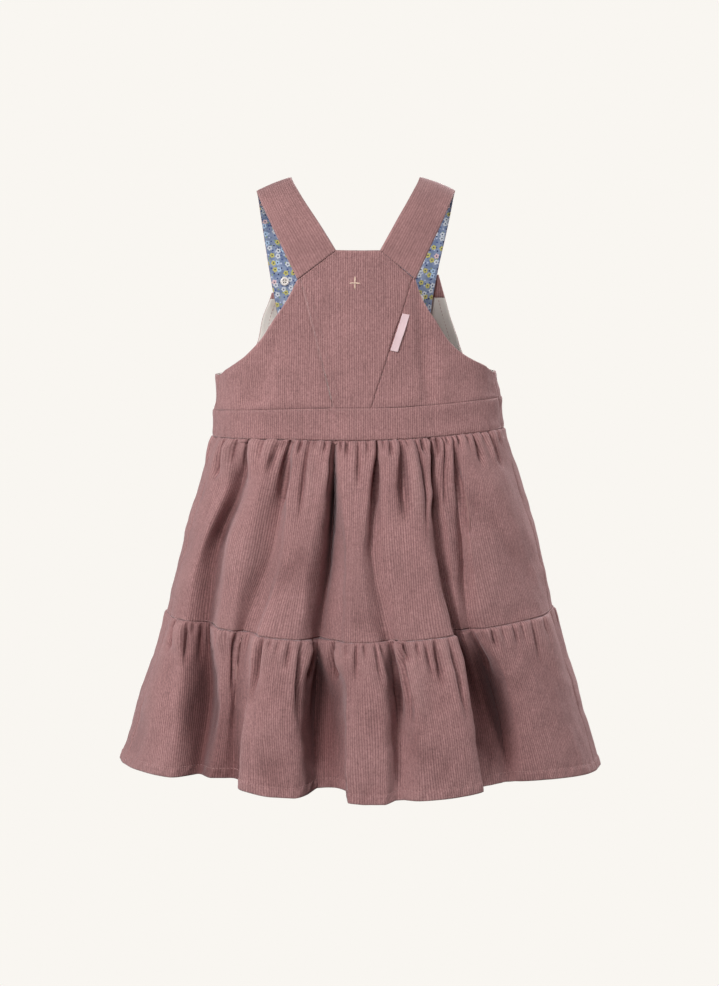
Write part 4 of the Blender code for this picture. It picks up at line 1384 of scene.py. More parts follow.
# ---- waistband and bodice -------------------------------------------------------------------
@dataclass
class Waistband:
    """Straight band between bodice and skirt, in a back and a front, topstitched along both seams."""

    cloths: Cloths
    columns: int = 260
    rows: int = 34
    flat: tuple[float, float] = (0.340, 0.030)
    stitch_in: float = 0.0016

    def shape(self, half: Half, creases: tuple[Crease, ...]) -> tuple[Array, Array, Array]:
        """One half of the band.

        The seam allowances lift the band by 0.6 mm near the waist seam and 0.5 mm near its top, each a
        bell exp(-((d - 4 mm) / 4 mm)^2).  The gathers below pull faint hollows into it that fade upwards,
        and one on the right, 1 mm deep, goes on to the top.

        Args:
            half: back or front.
            creases: the gathers below it.

        Returns:
            Grid of positions, its wear, and the cloth's coordinates.
        """
        pattern = half.value
        around, height = np.meshgrid(
            np.linspace(pattern.start, pattern.end, self.columns), np.linspace(BAND_TOP, 0, self.rows)
        )
        points, normals = FORM.place(around, height)
        up = along(points)[-1:] - along(points)
        down = along(points)
        out = 0.0006 * np.exp(-(((up - 0.004) / 0.004) ** 2))
        out += 0.0005 * np.exp(-(((down - 0.004) / 0.004) ** 2))
        for crease in creases:
            away = (around - crease.around) / 1.6
            out -= 0.00016 * crease.depth * np.exp(-(away**2)) * np.exp(-((up / 0.014) ** 2))
        out -= 0.0010 * np.exp(-(((around + 44) / 2.2) ** 2)) * smoothstep(up / 0.01)
        out += softness(points, 0.045, 0.0006, 5) + softness(points, 0.014, 0.00018, 6)
        across = along(points, 1)
        out *= smoothstep(across / 0.006) * smoothstep((across[:, -1:] - across) / 0.006)
        points = points + normals * out[..., None]
        points, wear = finish_edges(
            points, normals, Edge(0.0001, 0.0008, 0.35), Edge(0.0003, 0.0010, 0.45), PLAIN_EDGE, PLAIN_EDGE
        )
        across = FORM.cloth_across(around, height, pattern.middle)
        return points, wear, np.stack([across, down], -1)

    def build(self) -> None:
        """Makes both halves and their stitches."""
        sewing = Sewing("band_stitches")
        for half, creases in ((Half.BACK, WAIST_CREASES), (Half.FRONT, front_creases(WAIST_SEED))):
            name = f"band_{half.word}"
            points, wear, cloth = self.shape(half, creases)
            piece = cloth_object(
                name, points, cloth, CORDUROY_WALL, [self.cloths.corduroy, self.cloths.wrong_side], wear
            )
            dress_piece(piece, Slot.CORDUROY, [name])
            sewing.run(*stitch_line(points, self.stitch_in))
            sewing.run(*stitch_line(points, self.stitch_in, from_top=True))
        sewing.finish(self.cloths.thread, Slot.CORDUROY)


class Cut(NamedTuple):
    """A cut line's half breadths, left and right of the middle plane, at one height."""

    height: float
    left: float
    right: float


NECK_TO_BAND = (Cut(-5.88, 0.0181, 0.0229), Cut(-5.04, 0.0519, 0.0541), Cut(-1.00, 0.0208, 0.0145))
BACK_ARMHOLE = (
    Cut(-4.98, 0.0544, 0.0564), Cut(-4.20, 0.0669, 0.0653), Cut(-3.71, 0.0772, 0.0747),
    Cut(-3.21, 0.0876, 0.0851), Cut(-2.83, 0.0974, 0.0955), Cut(-2.58, 0.1051, 0.1048),
    Cut(-2.43, 0.1113, 0.1119), Cut(-2.29, 0.1180, 0.1200), Cut(-2.13, 0.1255, 0.1270),
    Cut(-2.00, 0.1293, 0.1311),
)
BIB_ARMHOLE = (
    Cut(-5.11, 0.0790, 0.0815), Cut(-4.52, 0.0821, 0.0862), Cut(-3.75, 0.0907, 0.0930),
    Cut(-2.80, 0.0985, 0.1025), Cut(-2.50, 0.1045, 0.1050), Cut(-2.35, 0.1095, 0.1090),
    Cut(-2.15, 0.1195, 0.1200), Cut(-2.00, 0.1293, 0.1311),
)
SIDE_PANEL_ROWS = (          # height at the V seam, height at the armhole or side seam
    (-5.04, -4.98), (-4.55, -4.30), (-4.10, -3.70), (-3.65, -3.20), (-3.20, -2.80), (-2.80, -2.48),
    (-2.40, -2.25), (-2.05, -2.09), (-1.75, -2.00), (-1.38, -1.50), (-1.00, -1.00),
)


def cut_x(cuts: Sequence[Cut], height: Array, side: Side, straight: bool = False) -> Array:
    """Signed distance from the middle plane of a cut line at some heights.

    Args:
        cuts: the line.
        height: level numbers.
        side: which of its two columns.
        straight: True where the line runs straight between its rows.

    Returns:
        x in metres.
    """
    heights, values = [cut.height for cut in cuts], [getattr(cut, side.word) for cut in cuts]
    x = np.interp(height, heights, values) if straight else curve_through(heights, values, height)
    return side.value * x


def between(first: tuple, last: tuple, share: Array) -> tuple[Array, Array]:
    """Grid of places between two edges.

    Args:
        first, last: each edge's (around, height) arrays, one value for each row.
        share: how far across each column is, from 0 to 1.

    Returns:
        Degrees round and level numbers.
    """
    (a0, h0), (a1, h1) = first, last
    return a0[:, None] * (1 - share) + a1[:, None] * share, h0[:, None] * (1 - share) + h1[:, None] * share


@dataclass
class BackBodice:
    """Centre panel that narrows to a V, and two side panels round the armholes."""

    cloths: Cloths
    centre_flat: tuple[float, float] = (0.110, 0.150)
    centre_area: float = 0.0108
    side_flat: tuple[float, float] = (0.150, 0.125)
    side_area: float = 0.0105
    topstitch_in: float = 0.0065

    def relief(self, points: Array, around: Array, height: Array) -> Array:
        """Soft hollows of worn cloth, and the allowance sewn down inside the left V seam.

        On the right a hollow runs down with a lower ridge beside it, and on the left a hollow slants;
        each is depth * exp(-(degrees away / width)^2).  The allowance is a strip 0.8 mm high.

        Args:
            points: positions on the form.
            around, height: their places.

        Returns:
            Metres that the cloth stands out.
        """
        fade = smoothstep((height + 5.0) / 0.8) * smoothstep((-0.9 - height) / 0.4)
        out = -0.0040 * np.exp(-(((around + 43) / 3.6) ** 2)) * fade
        out += 0.0012 * np.exp(-(((around + 52) / 4.0) ** 2)) * fade
        slant = around - (50 + 3.2 * (height + 3.0))
        out -= 0.0026 * np.exp(-((slant / 6.0) ** 2)) * fade * smoothstep((height + 4.0) / 1.2)
        inside = cut_x(NECK_TO_BAND, height, Side.LEFT, True) - points[..., 0]
        allowance = smoothstep((inside + 0.0004) / 0.0010) * (1 - smoothstep((inside - 0.0078) / 0.0010))
        out += 0.0008 * allowance * fade
        out += softness(points, 0.050, 0.0009, 8) + softness(points, 0.016, 0.00022, 9)
        return out * smoothstep((SIDE_SEAM - abs(around)) / 5)

    def panel(
        self, name: str, around: Array, height: Array, edges: tuple[Edge, Edge, Edge, Edge],
    ) -> Array:
        """Makes one panel.

        Args:
            name: of the node it stands for.
            around, height: grid of places.
            edges: finish of its top, bottom, first and last edge.

        Returns:
            Its grid of positions.
        """
        points, normals = FORM.place(around, height)
        out = self.relief(points, around, height) * smoothstep((BAND_TOP - height) / 0.25)
        points = points + normals * out[..., None]
        turned, wear = finish_edges(points, face_normals(points), *edges)
        at_seam = smoothstep((height + 2.15) / 0.3) * smoothstep(1 - (SIDE_SEAM - abs(around)) / 5)
        points = turned + (points - turned) * at_seam[..., None]
        wear = wear * (1 - at_seam)
        down = -points[..., 2]
        cloth = np.stack([FORM.cloth_across(around, height, 0.0), down], -1)
        piece = cloth_object(
            name, points, cloth, CORDUROY_WALL, [self.cloths.corduroy, self.cloths.wrong_side], wear
        )
        dress_piece(piece, Slot.CORDUROY, [name])
        return points

    def on_surface(self, x: Array, z: Array) -> tuple[Array, Array]:
        """Points of the shaped back.

        Args:
            x, z: where, in metres.

        Returns:
            Positions and normals.
        """
        height = FORM.height_at(z)
        around = FORM.around_at(x, height)
        points, normals = FORM.place(around, height)
        out = self.relief(points, around, height) * smoothstep((BAND_TOP - height) / 0.25)
        return points + normals * out[:, None], normals

    def on_back(self, corners: Sequence[tuple[float, float]], count: int) -> tuple[Array, Array]:
        """Line on the back.

        Args:
            corners: (x, z) of its corners.
            count: of points along it.

        Returns:
            Positions and normals.
        """
        corners = np.array(corners)
        reach = along(corners)
        at = np.linspace(0, reach[-1], count)
        return self.on_surface(np.interp(at, reach, corners[:, 0]), np.interp(at, reach, corners[:, 1]))

    def build(self) -> None:
        """Makes the three panels and the topstitching."""
        heights = np.concatenate([np.linspace(-5.88, -5.04, 26)[:-1], np.linspace(-5.04, -1.0, 96)])
        edges = [(FORM.around_at(cut_x(NECK_TO_BAND, heights, side, True), heights), heights)
                 for side in (Side.RIGHT, Side.LEFT)]
        around, height = between(*edges, np.linspace(0, 1, 90))
        left_seam = Edge(0.0009, 0.0013, 0.8)
        right_seam = Edge(0.0012, 0.0010, 0.05)
        self.panel(
            "back_centre_panel", around, height, (TURNED_EDGE, SEAM_EDGE, right_seam, left_seam),
        )
        for side in Side:
            rows = np.linspace(0, len(SIDE_PANEL_ROWS) - 1, 110)
            seam_h, hole_h = steady_curve(np.arange(len(SIDE_PANEL_ROWS)), SIDE_PANEL_ROWS, rows).T
            seam = (FORM.around_at(cut_x(NECK_TO_BAND, seam_h, side, True), seam_h), seam_h)
            hole = abs(FORM.around_at(cut_x(BACK_ARMHOLE, np.minimum(hole_h, -2.0), side), hole_h))
            hole = np.where(hole_h > -2.0, SIDE_SEAM, np.minimum(hole, SIDE_SEAM))
            hole = (side.value * hole, hole_h)
            ends = (seam, hole) if side is Side.LEFT else (hole, seam)
            around, height = between(*ends, np.linspace(0, 1, 110))
            seam_edge = left_seam if side is Side.LEFT else right_seam
            finish = (seam_edge, TURNED_EDGE) if side is Side.LEFT else (TURNED_EDGE, seam_edge)
            self.panel(
                f"back_side_{side.word}", around, height, (PLAIN_EDGE, SEAM_EDGE, *finish),
            )
        self.sew()

    def sew(self) -> None:
        """Topstitching below the neck and strap joints, beside the left V seam, and round the armholes."""
        sewing = Sewing("bodice_stitches")
        below_neck = -0.0647 - self.topstitch_in
        sewing.run(*self.on_back(
            ((0.0505, -0.0968), (0.0160, below_neck), (-0.0205, below_neck), (-0.0525, -0.0968)), 120
        ))
        sewing.run(*self.on_back(((0.0530, -0.0930), (0.0180, -0.0668)), 50))
        sewing.run(*self.on_back(((-0.0550, -0.0930), (-0.0226, -0.0668)), 50))
        for side in Side:
            heights = np.linspace(-4.85, -2.12, 80)
            x = cut_x(BACK_ARMHOLE, heights, side) - side.value * 0.0078
            z = WAIST.back_z - heights * BAND - 0.0010
            sewing.run(*self.on_back(list(zip(x, z)), 160))
        for shift in (0.0016, 0.0068):
            heights = np.linspace(-4.85, -1.02, 60)
            x = cut_x(NECK_TO_BAND, heights, Side.LEFT, True) - shift
            z = WAIST.back_z - heights * BAND
            sewing.run(*self.on_back(list(zip(x, z)), 120))
        sewing.finish(self.cloths.thread, Slot.CORDUROY)


@dataclass
class Bib:
    """Bib front with a turned facing inside its top and an off-white lining below that."""

    cloths: Cloths
    underarm: float = -2.80
    facing_height: tuple[float, float] = (-4.32, -4.37)
    top_height: tuple[float, float] = (-4.52, -5.11)
    flat: tuple[float, float] = (0.330, 0.150)
    area: float = 0.0330
    lining_flat: tuple[float, float] = (0.330, 0.125)
    lining_area: float = 0.0300
    facing_flat: tuple[float, float] = (0.180, 0.030)
    facing_area: float = 0.0030
    layer_gap: float = 0.0004

    def hole(self, height: Array, side: Side) -> Array:
        """Degrees round to the armhole edge, counted from the centre back on either side."""
        return abs(FORM.around_at(cut_x(BIB_ARMHOLE, height, side), height, front=True))

    def places(self) -> tuple[Array, Array, int]:
        """Grid of places, in which the bib's narrow part stands between two wings under the arms.

        Returns:
            Degrees round and level numbers, NaN outside the bib, and the facing's last row.
        """
        share = np.concatenate([np.linspace(0, 0.34, 9), np.linspace(0.36, 1.0, 42)])
        mid = 8
        edges = {}
        for side, k in ((Side.LEFT, 0), (Side.RIGHT, 1)):
            top, facing = self.top_height[k], self.facing_height[k]
            heights = np.concatenate([
                np.linspace(top, facing, mid + 1), np.linspace(facing, self.underarm, len(share) - mid)[1:]
            ])
            edges[side] = (self.hole(heights, side), heights)
        right = (360 - edges[Side.RIGHT][0], edges[Side.RIGHT][1])
        upper = between(edges[Side.LEFT], right, np.linspace(0, 1, 90))
        wings = []
        for side in (Side.LEFT, Side.RIGHT):
            heights = np.linspace(self.underarm, -2.0, 60)
            around = self.hole(heights, side)
            around[-1] = SIDE_SEAM
            spread = np.linspace(SIDE_SEAM, self.hole(np.array([self.underarm]), side)[0], 26)[:-1]
            top = np.interp(spread, around[::-1], heights[::-1])
            wings.append((spread, top) if side is Side.LEFT else (360 - spread[::-1], top[::-1]))
        around = np.concatenate([wings[0][0], upper[0][-1], wings[1][0]])
        top = np.concatenate([wings[0][1], upper[1][-1], wings[1][1]])
        fall = np.linspace(0, 1, 46)[:, None]
        lower_height = top * (1 - fall) - fall
        lower_around = np.broadcast_to(around, lower_height.shape)
        empty = np.full((len(upper[0]) - 1, len(wings[0][0])), np.nan)
        grids = [
            np.concatenate([np.concatenate([empty, above[:-1], empty], axis=1), below])
            for above, below in zip(upper, (lower_around, lower_height))
        ]
        return grids[0], grids[1], mid

    def edge_distance(self, points: Array) -> Array:
        """Distance from every edge but the lower one: to the nearest of the outline's points.

        Args:
            points: grid of positions, NaN outside the bib.

        Returns:
            Metres, a grid.
        """
        present = ~np.isnan(points[..., 0])
        inner = present.copy()
        inner[1:-1, 1:-1] = present[:-2, 1:-1] & present[1:-1, :-2] & present[1:-1, 2:]
        inner[0], inner[:, 0], inner[:, -1] = False, False, False
        outline = present & ~inner
        outline[-1] = False
        rim = points[outline]
        flat = points.reshape(-1, 3)
        distance = np.full(len(flat), np.inf)
        for chunk in np.array_split(rim, 12):
            to_chunk = np.linalg.norm(flat[:, None] - chunk[None], axis=-1).min(axis=1)
            distance = np.minimum(distance, to_chunk)
        return distance.reshape(present.shape)

    def layer(
        self, name: str, points: Array, normals: Array, cloth: Array, inset: float,
        wall: float, materials: Sequence[Material], slot: Slot, flat: tuple[float, float],
        area: float, wear: Array, faces_in: bool,
    ) -> None:
        """Makes one layer; one that faces inwards shows its right side there.

        Args:
            name: of the node it stands for.
            points, normals, cloth: grid of the bib's face, with the cloth's coordinates.
            inset: metres behind the face.
            wall: thickness.
            materials: the finishes.
            slot: the record's material slot.
            flat, area: its cut; not used.
            wear: grid of wear.
            faces_in: True where its right side faces the wearer.
        """
        grid = points - normals * inset
        if faces_in:
            grid, cloth, wear = grid[:, ::-1], cloth[:, ::-1], wear[:, ::-1]
        piece = cloth_object(name, grid, cloth, wall, materials, wear)
        dress_piece(piece, slot, [name])

    def build(self) -> None:
        """Makes the face, the facing, the lining and their stitches."""
        around, height, facing_row = self.places()
        points, normals = FORM.place(around, height)
        filled = np.nan_to_num(points)
        out = softness(filled, 0.050, 0.0010, 12) + softness(filled, 0.016, 0.0002, 13)
        in_from_seam = (180 - SIDE_SEAM - abs(around - 180)) / 5
        out = out * smoothstep((BAND_TOP - height) / 0.25) * smoothstep(in_from_seam)
        points = points + normals * out[..., None]
        distance = self.edge_distance(points)
        at_seam = smoothstep((height + 2.15) / 0.3) * smoothstep(1 - in_from_seam)
        near = np.exp(-((distance / TURNED_EDGE.over) ** 2)) * (1 - at_seam)
        across = FORM.cloth_across(around, height, 180.0)
        cloth = np.stack([across, -points[..., 2]], -1)
        wear = np.nan_to_num(near * TURNED_EDGE.rubbed)
        face = points - normals * (near * 0.0005)[..., None]
        both = [self.cloths.corduroy, self.cloths.wrong_side]
        self.layer(
            "front_bib", face, normals, cloth, 0.0, CORDUROY_WALL, both, Slot.CORDUROY,
            self.flat, self.area, wear, False,
        )
        inset = CORDUROY_WALL + self.layer_gap + COTTON_WALL
        top = slice(0, facing_row + 1)
        self.layer(
            "bib_facing", points[top], normals[top], cloth[top], inset, COTTON_WALL, [self.cloths.corduroy],
            Slot.CORDUROY, self.facing_flat, self.facing_area, wear[top] * 0, True,
        )
        rest = slice(facing_row, None)
        self.layer(
            "bib_lining", points[rest], normals[rest], cloth[rest], inset, COTTON_WALL, [self.cloths.lining],
            Slot.LINING, self.lining_flat, self.lining_area, wear[rest] * 0, True,
        )
        self.sew(inset)

    def sew(self, inset: float) -> None:
        """Stitch rows along the armholes, on the face and again where they come through the lining.

        Args:
            inset: metres from the face to the lining's right side.
        """
        outside, inside = Sewing("bib_stitches"), Sewing("lining_stitches")
        for side, facing in ((Side.LEFT, self.facing_height[0]), (Side.RIGHT, self.facing_height[1])):
            heights = np.linspace(facing + 0.05, -2.25, 120)
            around = self.hole(heights, side) + np.interp(heights, (-4.4, -2.8, -2.25), (3.0, 3.6, 5.5))
            around = around if side is Side.LEFT else 360 - around
            points, normals = FORM.place(around, heights)
            outside.run(points, normals)
            inside.run(points - normals * inset, -normals)
        outside.finish(self.cloths.thread, Slot.CORDUROY)
        inside.finish(self.cloths.thread, Slot.LINING)


# ---- straps ---------------------------------------------------------------------------------
class Rest(NamedTuple):
    """Where a strap's inner and outer edge rest; y is None where the strap lies on the form."""

    on: str
    inner_x: float
    inner_y: Optional[float]
    inner_z: float
    outer_x: float
    outer_y: Optional[float]
    outer_z: float


UNDER_BIB = "under the bib"
STRAP_RESTS = {
    Side.LEFT: (
        Rest("on the back", 0.0181, None, -0.0647, 0.0544, None, -0.0916),
        Rest("shoulder blade", 0.0330, 0.0605, -0.0410, 0.0680, 0.0560, -0.0640),
        Rest("back of shoulder", 0.0490, 0.0440, -0.0165, 0.0825, 0.0400, -0.0340),
        Rest("near the top", 0.0585, 0.0200, -0.0005, 0.0920, 0.0180, -0.0135),
        Rest("top", 0.0616, 0.0000, 0.0058, 0.0948, 0.0000, -0.0071),
        Rest("over the top", 0.0605, -0.0210, -0.0020, 0.0942, -0.0190, -0.0120),
        Rest("front of shoulder", 0.0565, -0.0450, -0.0235, 0.0920, -0.0400, -0.0310),
        Rest("collar bone", 0.0525, -0.0585, -0.0560, 0.0880, -0.0510, -0.0600),
        Rest(UNDER_BIB, 0.0480, None, -0.0960, 0.0832, None, -0.0980),
        Rest(UNDER_BIB, 0.0462, None, -0.1250, 0.0780, None, -0.1265),
        Rest(UNDER_BIB, 0.0445, None, -0.1560, 0.0745, None, -0.1570),
    ),
    Side.RIGHT: (
        Rest("on the back", 0.0229, None, -0.0647, 0.0564, None, -0.0916),
        Rest("shoulder blade", 0.0360, 0.0605, -0.0410, 0.0694, 0.0560, -0.0640),
        Rest("back of shoulder", 0.0500, 0.0440, -0.0165, 0.0835, 0.0400, -0.0340),
        Rest("near the top", 0.0588, 0.0200, -0.0005, 0.0924, 0.0180, -0.0137),
        Rest("top", 0.0616, 0.0000, 0.0058, 0.0953, 0.0000, -0.0076),
        Rest("over the top", 0.0605, -0.0210, -0.0020, 0.0945, -0.0190, -0.0125),
        Rest("front of shoulder", 0.0560, -0.0450, -0.0235, 0.0915, -0.0400, -0.0315),
        Rest("collar bone", 0.0515, -0.0585, -0.0530, 0.0865, -0.0510, -0.0570),
        Rest(UNDER_BIB, 0.0475, None, -0.0790, 0.0822, None, -0.0810),
        Rest(UNDER_BIB, 0.0450, None, -0.1100, 0.0765, None, -0.1115),
        Rest(UNDER_BIB, 0.0430, None, -0.1380, 0.0730, None, -0.1390),
    ),
}


@dataclass
class Strap:
    """Shoulder strap: corduroy outside and floral cotton inside, from the back joint to under the bib."""

    cloths: Cloths
    side: Side
    rows: int = 190
    columns: int = 20
    under_bib: float = 0.0036
    flat: tuple[float, float] = (0.305, 0.046)
    area: float = 0.0115
    gap: float = 0.0003
    face: Optional[Array] = None

    def edge(self, which: str) -> Array:
        """One edge line from the back joint on, a smooth curve through the rests.

        Args:
            which: "inner" or "outer".

        Returns:
            Positions, one for each row.
        """
        line = []
        for rest in STRAP_RESTS[self.side]:
            x, y, z = (getattr(rest, f"{which}_{axis}") for axis in "xyz")
            x *= self.side.value
            if y is None:
                front = rest.on == UNDER_BIB
                height = FORM.height_at(z)
                spot, normal = FORM.place(FORM.around_at(x, height, front), np.array(height))
                line.append(spot - normal * self.under_bib * front)
            else:
                line.append(np.array((x, y, z)))
        reach = along(np.array(line))
        return curve_through(reach, line, np.linspace(0, reach[-1], self.rows))

    def grid(self) -> tuple[Array, Array]:
        """Outer face, from the front end to the back joint.

        The width is straight from edge to edge with a slight roundness, and the wales run along it.

        Returns:
            Grid of positions and the cloth's coordinates.
        """
        inner, outer = self.edge("inner"), self.edge("outer")
        share = np.linspace(0, 1, self.columns)
        points = (inner[:, None] * (1 - share[:, None]) + outer[:, None] * share[:, None])[::-1]
        if self.side is Side.RIGHT:
            points = points[:, ::-1]
        width = along(points, 1)[:, -1].mean()
        middle = along(points)[:, self.columns // 2]
        cloth = np.stack(np.broadcast_arrays((share - 0.5)[None] * width, middle[:, None]), -1)
        bow = 0.0010 * np.sin(np.pi * share)[None] * smoothstep(middle / 0.03)[:, None]
        bow = bow * smoothstep((middle[-1] - middle) / 0.03)[:, None]
        bow = bow + softness(points, 0.060, 0.0007, 30 + self.side.value)
        ends = smoothstep((middle[-1] - middle) / 0.012)[:, None]
        return points + face_normals(points) * (bow * ends)[..., None], cloth

    def build(self) -> None:
        """Makes the strap and its lining."""
        points, cloth = self.grid()
        normals = face_normals(points)
        self.face = points
        edge = Edge(0.0005, 0.0012, 0.55)
        shaped, wear = finish_edges(points, normals, edge, Edge(0.0001, 0.0010, 0.25), edge, edge)
        name = f"strap_{self.side.word}"
        both = [self.cloths.pressed_corduroy, self.cloths.wrong_side]
        piece = cloth_object(name, shaped, cloth, CORDUROY_WALL, both, wear)
        dress_piece(piece, Slot.CORDUROY, [name])
        inside = (points - normals * (CORDUROY_WALL + self.gap + COTTON_WALL))[:, ::-1]
        name = f"strap_lining_{self.side.word}"
        piece = cloth_object(name, inside, cloth[:, ::-1], COTTON_WALL, [self.cloths.floral])
        dress_piece(piece, Slot.FLORAL, [name])

    def spot(self, x: float, z: float) -> tuple[Array, Array]:
        """Place on the strap's face in front.

        Args:
            x, z: where, in metres.

        Returns:
            The point and its outward normal.
        """
        normals = face_normals(self.face)
        away = np.hypot(self.face[..., 0] - x, self.face[..., 2] - z)
        away = np.where(self.face[..., 1] < -0.01, away, np.inf)
        nearest = np.unravel_index(away.argmin(), away.shape)
        normal, point = normals[nearest], self.face[nearest]
        y = point[1] - (normal[0] * (x - point[0]) + normal[2] * (z - point[2])) / normal[1]
        return np.array([x, y, z]), normal


# ---- label, motif and buttons ---------------------------------------------------------------
@dataclass
class Label:
    """Blank woven label that stands out of the right V seam."""

    cloths: Cloths
    across: float = 0.0066
    heights: tuple[float, float] = (-3.92, -2.77)
    tilt: float = 0.035
    lift: float = 0.0011
    flat: tuple[float, float] = (0.0355, 0.0100)
    area: float = 0.00024

    def build(self) -> None:
        """A straight strip along the seam; its free long edge lifts and waves a little."""
        rows, cols = 60, 14
        height = np.linspace(*self.heights, rows)[:, None]
        share = np.linspace(1, 0, cols)[None]
        seam = cut_x(NECK_TO_BAND, height, Side.RIGHT, True)
        around = FORM.around_at(seam - self.across * share - 0.0006, np.broadcast_to(height, (rows, cols)))
        height = height + self.tilt * share
        points, normals = FORM.place(around, height)
        free = self.lift + 0.0010 * share**2 + 0.0004 * share * np.sin(height * 7.0)
        points = points + normals * free[..., None]
        cloth = np.stack([along(points, 1), along(points, 0)], -1)
        piece = cloth_object("blank_label", points, cloth, 0.0006, [self.cloths.tape])
        dress_piece(piece, Slot.TAPE, ["label"])


@dataclass
class Motif:
    """Small hand-sewn cross below the neck."""

    cloths: Cloths
    centre: tuple[float, float] = (0.0004, -0.0953)
    wide: float = 0.0104
    tall: float = 0.0126
    thick: float = 0.0008

    def build(self, bodice: BackBodice) -> None:
        """Two crossed stitches of soft thread, each of two strands.

        Args:
            bodice: the back they are sewn on.
        """
        x, z = self.centre
        half_w, half_t = self.wide / 2, self.tall / 2
        ends = np.array((
            (x - half_w, z - 0.0006), (x + half_w * 0.9, z + 0.0004),
            (x - half_w * 0.9, z + 0.0002), (x + half_w, z - 0.0002),
            (x + 0.0003, z + half_t), (x - 0.0002, z - half_t),
            (x - 0.0004, z + half_t * 0.9), (x + 0.0004, z - half_t * 0.88),
        ))
        sewing = Sewing("cross_motif")
        points, normals = bodice.on_surface(ends[:, 0], ends[:, 1])
        points = points + normals * 0.0003
        sewing.stitch(points[::2], points[1::2], normals[::2], self.thick)
        sewing.finish(self.cloths.motif, Slot.TAPE)


HOLE_TURNS = np.radians((45, 135, 225, 315))     # of a button's four holes, round its middle


class ButtonKind(Enum):
    """Radius and thickness of the front buttons and of the small backing buttons inside."""

    FRONT = (0.0080, 0.0026)
    BACKING = (0.0043, 0.0015)


